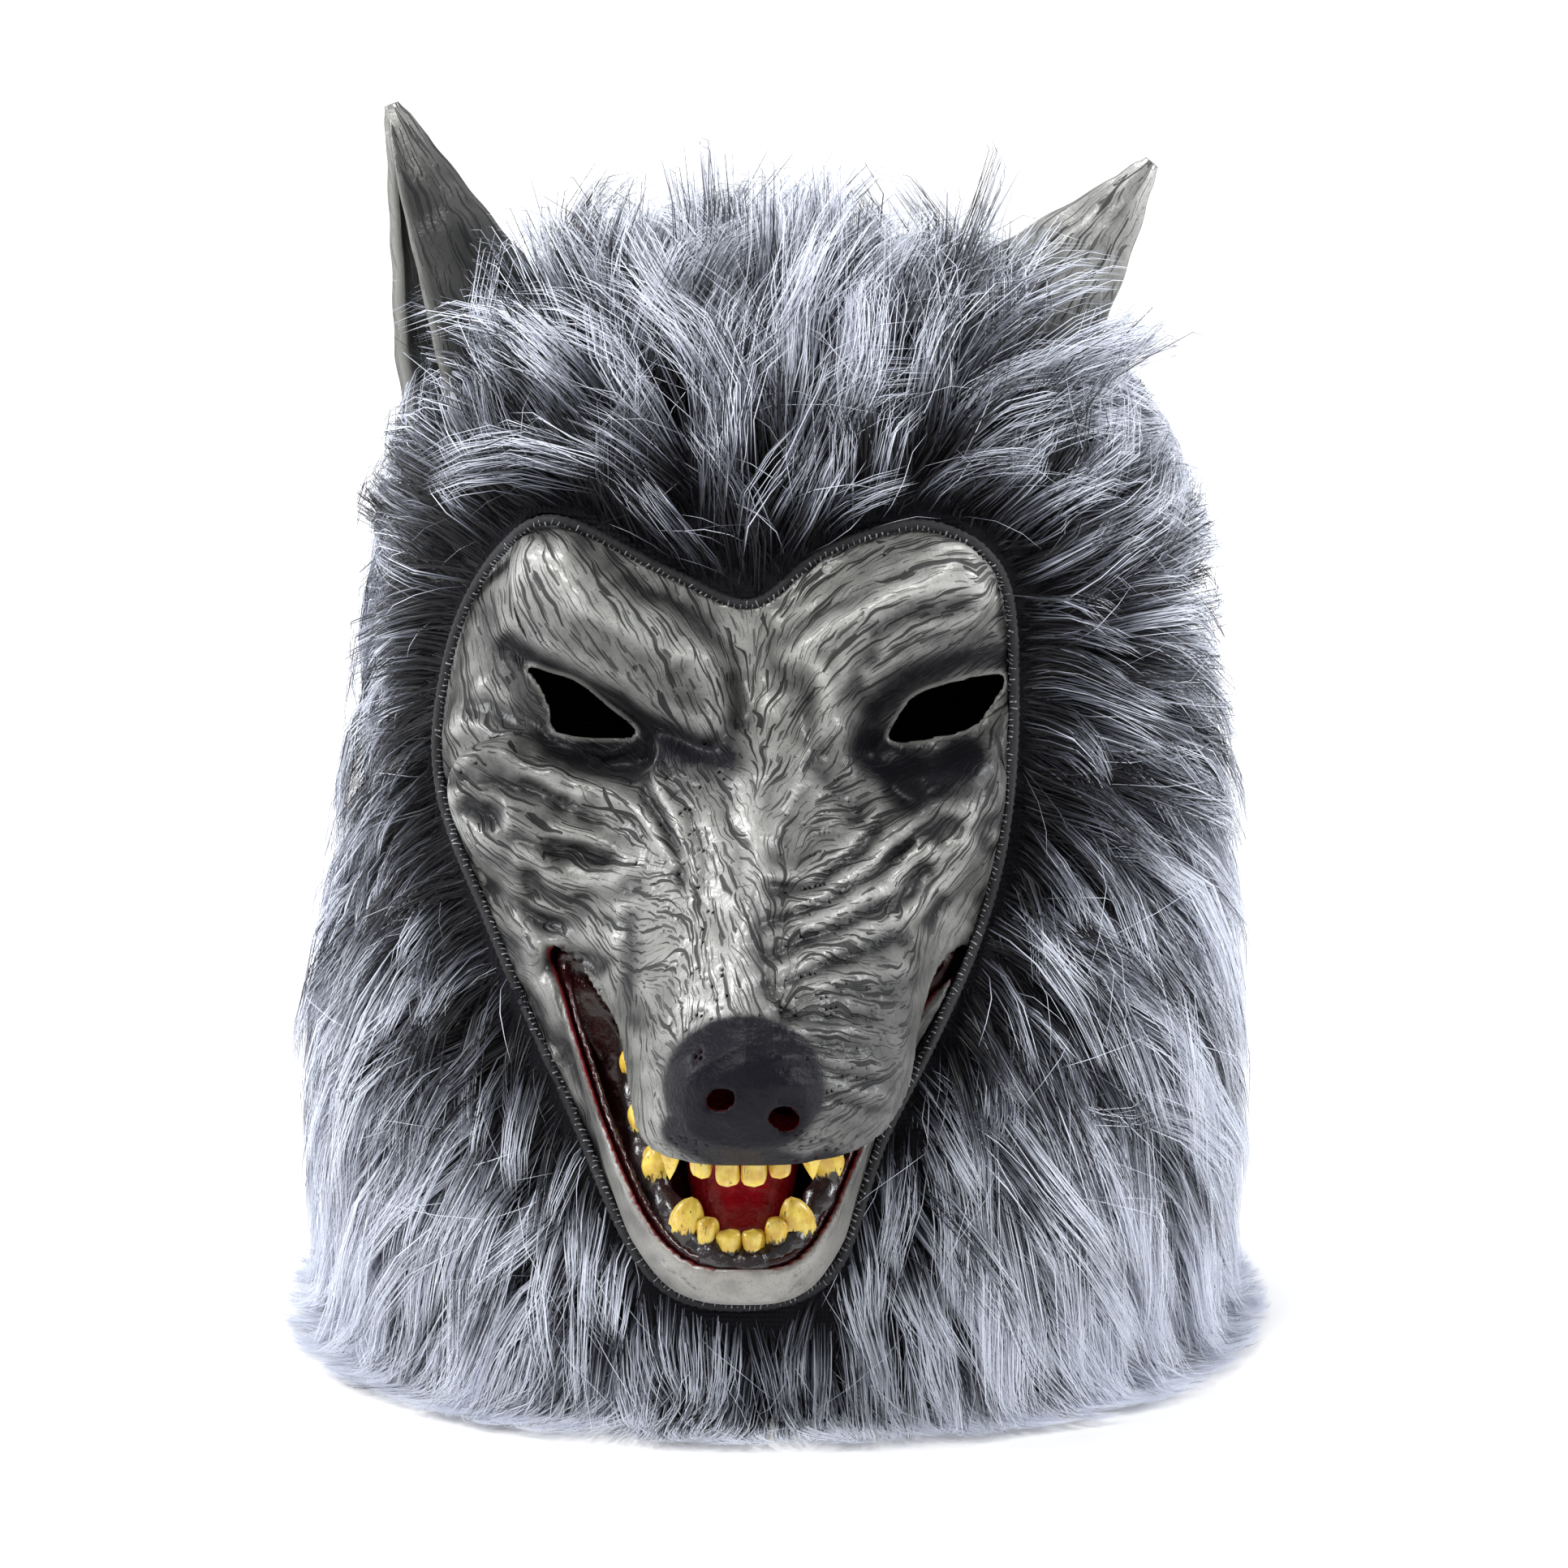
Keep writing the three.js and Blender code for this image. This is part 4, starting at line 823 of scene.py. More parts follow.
def face_values():
    """What the skin's material reads at each point of the face: shares, and two directions."""
    px = face_px
    dark = black_paint_and_shade_on(px) * face_facing
    x, y, z = face_points.T
    nose = np.hypot((px[:, 0] - 917) / 96, (px[:, 1] - 1338) / 84)
    nose_dark = smooth_step(-nose, -1.18, -0.9) * smooth_step(-y, 132, 146)
    lip_line = np.array([(838, 1392), (890, 1420), (990, 1448), (1022, 1440)])
    lip_front = smooth_step(-line_distance(px, lip_line) * FACE_PIXEL, -8, -3)
    nose_dark = np.maximum(nose_dark, 0.8 * lip_front * smooth_step(-y, 135, 145) * (z > 85))
    bend = curvature(body, face_points, 4.0)
    ridge, hollow = np.clip(bend, 0, 1.2), np.clip(-bend, 0, 1.2)
    ways = [np.array([math.cos(t), math.sin(t)]) for t in np.arange(6) * math.pi / 3]
    around = np.mean([fold_depth(px + 20 * way) for way in ways], 0)
    relief = (fold_depth(px) - around) / 1.5
    # sunk darkens hollows and grooves: black wash worked into them, and painted shade; raised_light lightens
    # ridges: dry-brushed silver, and painted highlight
    sunk = np.clip(0.6 * hollow + 0.95 * np.clip(-relief, 0, 1.2), 0, 1) * face_facing
    raised_light = np.clip(0.35 * ridge + 0.8 * np.clip(relief, 0, 1.2), 0, 1) * face_facing
    # Painted highlights along the listed lines, which also take away the painted shade where they lie
    for strength, width, line in BRIGHT:
        rubbed_and_painted_light = strength * drawn(px, pixels(line), width) * face_facing
        raised_light = np.maximum(raised_light, rubbed_and_painted_light)
        sunk *= 1 - 0.7 * rubbed_and_painted_light
    lips = smooth_step(-np.abs(sample(mouth_gap, face_points)), -4.5, -1.0)
    jaw = smooth_step(-(z - (MOUTH_CORNER[1] + (y - MOUTH_CORNER[0]) * 0.7)), 0, 6)
    chin = jaw * smooth_step(-z, -88, -60)
    nostril = np.zeros(len(x))
    for a, b, ra, rb, _ in NOSTRILS:
        away = np.hypot((px[:, 0] - a) / ra, (px[:, 1] - b) / rb)
        nostril = np.maximum(nostril, smooth_step(-away, -1.25, -0.7))
    nostril *= smooth_step(-y, 140, 146) * smooth_step(inner_side, 0.0, 0.7)
    hole_edge = smooth_step(-np.abs(sample(hole_gap, face_points)), -1.6, -0.3) * (y > -110)
    along_lip = smooth_step(-np.abs(sample(mouth_gap, face_points)), -16, -6) * (1 - jaw) * (px[:, 0] > 950)
    smooth_zone = np.maximum.reduce([
        nose_dark, lips, hole_edge, 0.8 * smooth_step(dark, 0.6, 1.0), chin, 0.7 * jaw, 0.7 * along_lip,
    ])
    steps = np.gradient(body, STEP)
    normals = unit(np.stack([sample(g, face_points) for g in steps], 1))
    flow, across = stroke_flow(px, normals)
    return dict(
        dark=dark, nose=nose_dark, sunk=sunk, crest=raised_light, lips=lips, chin=chin,
        red=np.maximum(nostril, inner_side * smooth_step(-z, -150, -140)), rim=hole_edge,
        inner=inner_side, plain=smooth_zone, flow=flow, across=across,
    )


def skin_material(name, light=(0.27, 0.273, 0.258)):
    """Grey moulded plastic with engraved hair, black paint worked into its hollows together with painted
    shade, and dry-brushed silver with painted highlights on its ridges.
    """
    n = Nodes(name)
    a = n.attribute
    flow, across = a("flow", "Vector"), a("across", "Vector")
    place = n.place()
    wobble = n.add("ShaderNodeTexNoise", {"Vector": place, "Scale": 110.0, "Detail": 1.0}).outputs["Color"]
    wobble = n.vector_math("SUBTRACT", wobble, (0.5,) * 3)
    bent = n.vector_math("ADD", place, n.vector_math("MULTIPLY", wobble, (0.0035,) * 3))

    def layers(rows):
        """The strongest of several nets of strokes."""
        made = [n.dashes(bent, flow, across, *row) for row in rows]
        total = made[0]
        for more in made[1:]:
            total = n.math("MAXIMUM", total, more)
        return total

    # cell, half width and half length in metres, and where the net starts
    coarse = layers([(0.021, 0.0005, 0.012, 0.31), (0.019, 0.0005, 0.011, 1.73), (0.017, 0.00048, 0.01, 2.2),
                     (0.015, 0.00045, 0.009, 6.4), (0.013, 0.00042, 0.008, 7.9)])
    middle = layers([(0.0095, 0.00034, 0.006, 2.9), (0.008, 0.0003, 0.005, 4.1)])
    fine = layers([(0.0048, 0.0002, 0.0032, 5.3)])
    engraved = n.math("MAXIMUM", coarse, n.times(n.math("MAXIMUM", middle, n.times(fine, 0.6)), 0.8))
    for smooth_zone in ("plain", "inner"):
        engraved = n.times(engraved, n.minus(1.0, a(smooth_zone)), clamp=True)
    mottle = n.noise(place, 60, 4.0, 0.6)
    grain = n.noise(place, 900, 3.0, 0.6)
    speck = n.span(n.noise(place, 1500, 1.0), 0.66, 0.72)
    # Black wash in the hollows and grooves, and painted shade there
    rubbed_and_painted_light = n.times(a("sunk"), n.span(n.noise(place, 260, 4.0, 0.65), 0.25, 0.6, 0.55, 1.0))
    # Airbrushed black paint, and painted shade where the paint table draws it
    airbrush_and_painted_shade = n.plus(a("dark"), n.swing(n.noise(place, 600, 3.0, 0.7), 0.3))
    padding = n.plus(a("nose"), n.swing(grain, 0.35))
    wine = n.span(n.noise(place, 120, 3.0), 0.4, 0.65)
    inside_lip = n.times(a("lips"), a("inner"))
    tone = n.coats(
        tuple(c * 0.6 for c in light),
        (n.span(mottle, 0.3, 0.7), light),
        # Lighter on ridges: dry-brushed silver and painted highlight
        (n.times(a("crest"), 0.8, clamp=True), (0.5, 0.505, 0.485)),
        (n.times(a("chin"), 0.7), (0.36, 0.345, 0.32)),
        (n.times(n.span(grain, 0.5, 0.75), 0.3), (0.08, 0.08, 0.08)),
        (n.times(rubbed_and_painted_light, 0.92, clamp=True), (0.02, 0.02, 0.023)),
        (n.span(airbrush_and_painted_shade, 0.05, 0.9, smooth=False), (0.009, 0.009, 0.012)),
        (n.times(engraved, 0.92), (0.009, 0.009, 0.011)),
        (n.times(speck, 0.5), (0.02, 0.02, 0.02)),
        (n.span(padding, 0.12, 0.75), (0.006, 0.006, 0.01)),
        (n.times(a("rim"), 0.75), (0.34, 0.34, 0.32)),
        # The inside of the moulding, seen through the eyes and mouth, is painted nearly black: painted shade
        (n.times(a("inner"), 0.9), (0.03, 0.028, 0.03)),
        (n.times(inside_lip, n.plus(0.15, n.times(wine, 0.5)), clamp=True), (0.06, 0.006, 0.008)),
        (a("red"), (0.22, 0.006, 0.012)),
    )

    pebble = n.noise(place, 620, 2.0)
    height = n.minus(n.times(pebble, n.plus(0.2, n.times(a("nose"), 0.3))), engraved)
    normal = n.bump(n.plus(height, n.times(mottle, 0.6)), 0.9, 0.0011)
    rough = 0.3
    for part in (n.times(grain, 0.18), n.times(a("nose"), 0.08), n.times(engraved, 0.25)):
        rough = n.plus(rough, part)
    black = n.math("MAXIMUM", a("dark"), n.math("MAXIMUM", a("nose"), a("inner")), clamp=True)
    n.put(n.shader.inputs["Specular IOR Level"], n.minus(0.5, n.times(black, 0.36)))
    return n.finish(tone, rough, normal, Metallic=0.2, Coat_Weight=0.04, Coat_Roughness=0.3)


face_skin = skin_material("moulded_skin")
make_piece("moulded_face", face_raised, face_quads, face_skin, ["face_moulding"],
           values=face_values())

# ---------------------------------------------------------------- mouth


def mouth_material(name, deep, lit, roughness, bump, shaded=False):
    """Wet paint from a deep to a lit tone. Shaded, it is dark where the value lit is 0."""
    n = Nodes(name)
    place = n.place()
    cloud = n.noise(place, 90, 4.0, 0.6)
    fine = n.noise(place, 500, 3.0, 0.6)
    tone = n.coats(
        deep, (n.span(cloud, 0.3, 0.7), lit),
        (n.times(n.span(fine, 0.55, 0.75), 0.5), tuple(c * 0.3 for c in deep)),
    )
    if shaded:
        shadow = n.mix(cloud, (0.006, 0.003, 0.003), (0.05, 0.004, 0.006))
        tone = n.mix(n.attribute("lit"), shadow, tone)
    normal = n.bump(n.plus(fine, n.times(cloud, 2.0)), 0.7, bump)
    rough = n.plus(roughness, n.times(cloud, 0.15))
    return n.finish(tone, rough, normal, Coat_Weight=0.5, Coat_Roughness=0.12)


lining_paint = mouth_material("mouth_paint", (0.34, 0.005, 0.014), (0.62, 0.01, 0.026), 0.2, 0.0008,
                              shaded=True)
tongue_paint = mouth_material("tongue_paint", (0.42, 0.004, 0.014), (0.62, 0.012, 0.03), 0.18, 0.001)
gum_paint = mouth_material("gum_paint", (0.012, 0.01, 0.012), (0.03, 0.018, 0.02), 0.18, 0.0006)


def lining():
    """The thin wall behind the lips: palate, cheeks and floor of the mouth."""
    outer = np.maximum.reduce([
        body + FACE_WALL + 0.6,
        GZ - (MOUTH_CORNER[1] + 13 + (GY - MOUTH_CORNER[0]) * UPPER_SLOPE) + 0 * GX,
        GY - MOUTH_CORNER[0] - 2 + 0 * GX + 0 * GZ,
        seam_gap + 2.5 + 0 * GY,
    ])
    wall = np.maximum(outer, -(outer + 2.1))
    gap = np.maximum(lip_gap, GY - MOUTH_CORNER[0] + 1)
    points, quads = keep_largest(*surface_net(cut(wall, -gap, 0.8).astype(np.float32)))
    x, y, _ = points.T
    lit = smooth_step(-np.abs(x - ARCH_MIDDLE), -26, -15) * smooth_step(-y, 92, 104)
    lit *= smooth_step(np.abs(sample(gap.astype(np.float32), points)), 2.5, 6)
    make_piece("mouth_wall", raise_folds(points, 14), quads, lining_paint, ["mouth_lining"],
               values=dict(lit=lit))


ARCHES = dict(
    upper=dict(above=1, slope=UPPER_SLOPE, half=26, reach=47, y=-104),
    lower=dict(above=-1, slope=LOWER_SLOPE, half=31, reach=46, y=-83),
)
ARCH_MIDDLE = -9
GUM_DEPTH, GUM_THICKNESS = 3.5, 7


def arch_point(arch, turn):
    """A point of the lip's edge over a tooth arch. turn is in degrees, below 0 on the left."""
    t = np.radians(turn)
    x = ARCH_MIDDLE + arch["half"] * np.sin(t)
    y = arch["y"] - arch["reach"] * np.cos(t)
    return np.stack([x, y, MOUTH_CORNER[1] + (y - MOUTH_CORNER[0]) * arch["slope"]], -1)


def tube(path, radius, sides, squash=1.0, up=(0, 0, 1)):
    """Points and quads of a closed-ended tube along a path, radius given at each point."""
    path = np.asarray(path, float)
    ahead = unit(np.gradient(path, axis=0))
    side = unit(np.cross(ahead, up))
    over = np.cross(side, ahead)
    points = path[:, None] + np.asarray(radius)[:, None, None] * circles(side, over, sides, squash)
    points = np.concatenate([points.reshape(-1, 3), path[:1], path[-1:]])
    return points, [ring_faces(len(path), sides), *end_fans(len(path), sides)]


def merge(parts):
    """Several (points, [faces...]) as one, with triangles and quads kept apart."""
    points, quads, tris, start = [], [], [], 0
    for p, groups in parts:
        points.append(p)
        for g in groups:
            (quads if g.shape[1] == 4 else tris).append(g + start)
        start += len(p)
    return np.concatenate(points), [np.concatenate(quads), np.concatenate(tris)]


def gum_piece(name, arch, reach_turn):
    turns = np.linspace(-reach_turn, reach_turn, 90)
    path = arch_point(arch, turns)
    path[:, 2] += arch["above"] * (GUM_DEPTH + GUM_THICKNESS / 2)
    path[:, 0] = ARCH_MIDDLE + (path[:, 0] - ARCH_MIDDLE) * 0.985
    lumps = 4.4 + 0.5 * np.sin(np.radians(turns) * 17) + 0.35 * np.sin(np.radians(turns) * 41 + 1)
    lumps *= 1 - 0.45 * (np.abs(turns) / reach_turn) ** 8
    points, faces = tube(path, lumps, 16, squash=1.15)
    make_piece(name, points, faces, gum_paint, [name.replace("_ridge", "")])


lining()
gum_piece("upper_gum_ridge", ARCHES["upper"], 86)
gum_piece("lower_gum_ridge", ARCHES["lower"], 88)

# name, turn in degrees, half width, half depth, length and lean towards the middle in mm, kind
TEETH = dict(
    upper=[
        ("incisor_inner", 8, 3.6, 2.8, 10.4, 0.0, "cap"), ("incisor_outer", 24, 3.6, 2.9, 10.8, 0.0, "cap"),
        ("canine", 46, 5.2, 4.5, 19.0, -1.6, "fang"), ("premolar", 70, 3.3, 3.2, 8.6, 0.0, "cap"),
    ],
    lower=[
        ("incisor_inner", 6, 3.5, 2.8, 6.8, 0.0, "cap"), ("incisor_outer", 18, 3.7, 3.0, 7.6, 0.0, "cap"),
        ("canine", 30, 5.2, 4.8, 11.0, 2.4, "blunt"), ("premolar", 50, 4.3, 3.8, 10.2, 1.0, "knob"),
        ("molar_front", 65, 3.7, 3.4, 9.0, 0.4, "knob"), ("molar_back", 80, 3.9, 3.5, 9.6, 0.2, "knob"),
    ],
)


def tooth_points(width, deep, length, lean, kind, local_rng):
    """One tooth standing on z=0 from its root: a blunt, slightly lumpy peg."""
    rings, sides = 16, 18
    turn = 2 * np.pi * np.arange(sides) / sides
    phase = local_rng.uniform(0, 6.28, 4)
    root = -GUM_THICKNESS * 0.55
    out = []
    for r in range(rings):
        t = r / (rings - 1)
        z = root + (length - root) * t
        s = min(max(z, 0) / length, 1)
        if kind == "fang":
            size = (1 - s**1.5) ** 0.8 * (1 + 0.12 * math.sin(3 * s))
        elif kind == "cap":
            size = (1 - s**7) ** 0.5 * (0.84 + 0.22 * s)
        elif kind == "blunt":
            size = (1 - s**3) ** 0.55 * (1.02 - 0.22 * s)
        else:
            size = (1 - s**3.4) ** 0.55 * (0.86 + 0.3 * math.sin(2.6 * s))
        size = max(size, 0.02)
        lump = 1 + 0.1 * np.sin(2 * turn + phase[0]) + 0.08 * np.sin(3 * turn + phase[1] + 3 * t)
        lump += 0.05 * np.sin(5 * turn + phase[2] + 6 * t)
        bend = lean * s**1.6
        x = width * size * lump * np.cos(turn) + bend
        y = deep * size * lump * np.sin(turn)
        out.append(np.stack([x, y, np.full(sides, z)], 1))
    points = np.concatenate([*out, [[0, 0, root], [lean, 0, length + 0.15]]])
    return points, [ring_faces(rings, sides), *end_fans(rings, sides)]


def tooth_paint():
    n = Nodes("tooth_paint")
    place = n.place()
    height = n.attribute("height")
    brush = n.noise(n.scaled(place, 1, 1, 0.28), 520, 4.0, 0.65)
    patch = n.noise(place, 210, 3.0, 0.6)
    yellow = n.coats(
        (0.62, 0.36, 0.03), (n.span(patch, 0.3, 0.7), (0.86, 0.66, 0.1)),
        (n.times(n.span(brush, 0.5, 0.7), 0.5), (0.9, 0.78, 0.3)),
    )
    cover = n.span(n.plus(height, n.swing(brush, 1.1)), 0.08, 0.17)
    chips = n.span(n.noise(n.scaled(place, 1, 1, 0.35), 620, 3.0, 0.7), 0.62, 0.66)
    tone = n.coats((0.02, 0.016, 0.012), (cover, yellow), (n.times(chips, 0.8), (0.05, 0.04, 0.02)))
    normal = n.bump(n.plus(brush, n.times(cover, 0.7)), 0.6, 0.0005)
    rough = n.plus(0.22, n.times(patch, 0.25))
    return n.finish(tone, rough, normal, Coat_Weight=0.3, Coat_Roughness=0.15)


yellow_paint = tooth_paint()
tooth_rng = np.random.default_rng(5)
for level, rows in TEETH.items():
    arch = ARCHES[level]
    for side, suffix in ((-1, "left"), (1, "right")):
        for name, turn, width, deep, length, lean, kind in rows:
            points, faces = tooth_points(width, deep, length, -side * lean, kind, tooth_rng)
            share = np.clip(points[:, 2] / length, -1, 1)
            at = arch_point(arch, side * turn)
            t = math.radians(side * turn)
            # x of the tooth runs along the arch, y across it
            tangent = unit(np.array([arch["half"] * math.cos(t), arch["reach"] * math.sin(t), 0]))
            outward = np.array([tangent[1], -tangent[0], 0])
            up = np.array([0, 0, -arch["above"]], float)
            local = points[:, :1] * tangent + points[:, 1:2] * outward + points[:, 2:] * up
            sunk = 2.5 if kind == "blunt" else 0
            place = at + np.array([0, 0, arch["above"] * (GUM_DEPTH + sunk)]) + local
            if arch["above"] > 0:
                faces = [f[:, ::-1] for f in faces]
            node = f"{level}_{name}_{suffix}"
            make_piece(f"{node}_painted", place, faces, yellow_paint, [node],
                       values=dict(height=share))


def tongue():
    rows, sides = 40, 28
    turn = 2 * np.pi * np.arange(sides) / sides
    half_wide, half_long, half_high = 16.1, 37.7, 10.5
    points = []
    for r in range(rows):
        v = -1 + 2 * r / (rows - 1)
        size = math.sqrt(max(1 - v * v, 0.0009)) ** 0.8
        x = half_wide * size * np.cos(turn)
        z = half_high * size * np.sin(turn)
        groove = 2.6 * np.exp(-((x / 3.2) ** 2)) * (np.sin(turn) > 0) * size
        ripple = 0.5 * np.sin(v * 34 + np.abs(x) * 0.25) * size * (np.sin(turn) > 0)
        z = z - groove + ripple
        points.append(np.stack([x, np.full(sides, v * half_long), z], 1))
    points = np.concatenate(points)
    c, s = cos_sin(42)
    y, z = points[:, 1] * c - points[:, 2] * s, points[:, 1] * s + points[:, 2] * c
    points = np.stack([points[:, 0] + ARCH_MIDDLE, y - 88.5, z + 84], 1)
    points = np.concatenate([points, [points[:sides].mean(0), points[-sides:].mean(0)]])
    faces = [ring_faces(rows, sides)[:, ::-1], *(fan[:, [0, 2, 1]] for fan in end_fans(rows, sides))]
    make_piece("tongue_ridged", points, faces, tongue_paint, ["tongue"])


tongue()

# ---------------------------------------------------------------- ears

EAR_LENGTH, EAR_WIDTH, EAR_DEPTH, EAR_WALL, EAR_SEAT_Y = 96, 64, 44, 2.4, 16
# rise, wide, deep
EAR_SECTIONS = np.array([
    (0, 1, 1), (0.25, 0.86, 0.9), (0.5, 0.6, 0.72), (0.7, 0.4, 0.52), (0.87, 0.22, 0.34),
    (0.96, 0.13, 0.22), (1, 0.07, 0.12),
])
EARS = [
    dict(name="left_ear", x=-78, z=272, lean=-20, opening=200, width=1.0, seed=2.0),
    dict(name="right_ear", x=50, z=270, lean=38, opening=10, width=1.08, seed=7.0),
]
EAR_ARC = 270

# One skin in two copies: the left ear's is a shaded copy and the right ear's a lit copy, painted shade and
# painted light
ear_skins_lit_and_shaded = dict(
    left_ear=skin_material("left_ear_shaded_skin", light=(0.072, 0.074, 0.07)),
    right_ear=skin_material("right_ear_lit_skin", light=(0.44, 0.445, 0.43)),
)


def seat_ear(points, ear):
    """From an ear's own frame to the mask's."""
    c, s = cos_sin(ear["lean"])
    x = points[:, 0] * c + points[:, 2] * s
    z = -points[:, 0] * s + points[:, 2] * c
    return np.stack([x + ear["x"], points[:, 1] + EAR_SEAT_Y, z + ear["z"]], 1)


def unseat_ear(points, ear):
    """From the mask's frame to an ear's own."""
    c, s = cos_sin(ear["lean"])
    x, y, z = points[:, 0] - ear["x"], points[:, 1] - EAR_SEAT_Y, points[:, 2] - ear["z"]
    return np.stack([x * c - z * s, y, x * s + z * c], 1)


def ear_piece(ear):
    """One open moulded shell with a thickened rim."""
    rows, steps = 72, 60
    rise = np.linspace(-0.12, 1, rows)
    table = smooth_rows(EAR_SECTIONS, np.clip(rise, 0, 1))
    share = np.linspace(-0.5, 0.5, steps)
    angle = np.radians(ear["opening"] + 180 + share * EAR_ARC)
    half_x = table[:, 1] * ear["width"] * EAR_WIDTH / 2
    half_y = table[:, 2] * EAR_DEPTH / 2
    seed = ear["seed"]
    fine = np.sin(share * 40 + seed)[None, :] * 0.35 + np.sin(rise * 38 + seed * 2)[:, None] * 0.3
    waves = fine + 0.9 * np.sin(share * 9 + rise[:, None] * 5 + seed)
    rim = 1.2 * np.exp(-(((0.5 - np.abs(share)) / 0.035) ** 2))[None, :]
    fade = np.clip((1 - rise) * 6, 0.15, 1)[:, None]

    def surface(inset, bump):
        a = np.maximum(half_x[:, None] - inset + bump * fade, 0.8)
        b = np.maximum(half_y[:, None] - inset + bump * fade, 0.8)
        x, y = np.cos(angle)[None, :] * a, np.sin(angle)[None, :] * b
        return np.stack([x, y, np.repeat((rise * EAR_LENGTH)[:, None], steps, 1)], -1)

    wall = np.minimum(EAR_WALL, 0.32 * np.minimum(half_x, half_y) * 2)[:, None]
    outer = surface(0, waves * 0.9 + rim)
    inner = surface(wall, waves * 0.5 - rim * 0.4)
    loop = np.concatenate([outer, inner[:, ::-1]], 1)
    count = loop.shape[1]
    points = loop.reshape(-1, 3)
    k = np.arange(steps - 1)
    back = count - 1 - k
    base = (rows - 1) * count
    faces = np.concatenate([
        ring_faces(rows, count),
        np.stack([k, back, back - 1, k + 1], 1),
        np.stack([base + k, base + k + 1, base + back - 1, base + back], 1),
    ])
    place = seat_ear(points, ear)
    s = np.tile(np.concatenate([share, share[::-1]]), rows)
    v = np.repeat(rise, count)
    inner_flag = np.tile(np.concatenate([np.zeros(steps), np.ones(steps)]), rows)
    ear_up = seat_ear(np.array([[0, 0, 1.0]]), ear)[0] - seat_ear(np.zeros((1, 3)), ear)[0]
    # Darker towards the base, where the ear stands in the fur, and inside the shell towards its bottom:
    # painted shade; stripes of black paint; the right ear also darker on one side near its base; the tip
    # lighter
    low = smooth_step(-v, -0.8, -0.1)
    dark = 0.6 * low * (1 - 0.4 * np.abs(s)) + 0.3 * smooth_step(np.sin(s * 9 + v * 5 + seed), 0.5, 1)
    if ear["name"] == "right_ear":
        dark = np.maximum(dark, 0.9 * smooth_step(s, 0.0, 0.35) * low)
    values = {key: 0 * s for key in ("nose", "lips", "chin", "red", "inner")}
    values.update(
        dark=dark * (1 - inner_flag),
        sunk=0.45 * low * (1 - inner_flag) + 0.12 * inner_flag * (1 - v),
        crest=smooth_step(v, 0.75, 1) * 0.5,
        rim=0.7 * smooth_step(np.abs(s), 0.47, 0.5),
        plain=0.8 * inner_flag + 0.5 * smooth_step(np.abs(s), 0.45, 0.49),
        flow=np.tile(unit(ear_up), (len(s), 1)),
        across=unit(np.gradient(place.reshape(rows, count, 3), axis=1)).reshape(-1, 3),
    )
    name = ear["name"]
    make_piece(f"{name}_moulded", place, faces, ear_skins_lit_and_shaded[name], [name], values=values)


for ear in EARS:
    ear_piece(ear)

# ---------------------------------------------------------------- hood backing


def backing_material():
    n = Nodes("knit_backing")
    place = n.place()
    weave = n.add("ShaderNodeTexWave", {"Vector": place, "Scale": 220.0, "Distortion": 1.5, "Detail": 2.0})
    cross = n.add("ShaderNodeTexWave", {"Vector": place, "Scale": 220.0, "Distortion": 1.0},
                  bands_direction="Z")
    cloth = n.times(weave.outputs["Fac"], cross.outputs["Fac"])
    tone = n.mix(n.noise(place, 130, 4.0), (0.004, 0.004, 0.006), (0.01, 0.01, 0.013))
    tone = n.mix(n.times(cloth, 0.4), tone, (0.02, 0.02, 0.024))
    rough = n.plus(0.8, n.times(cloth, 0.15))
    return n.finish(tone, rough, n.bump(cloth, 0.6, 0.0006), Specular_IOR_Level=0.1)


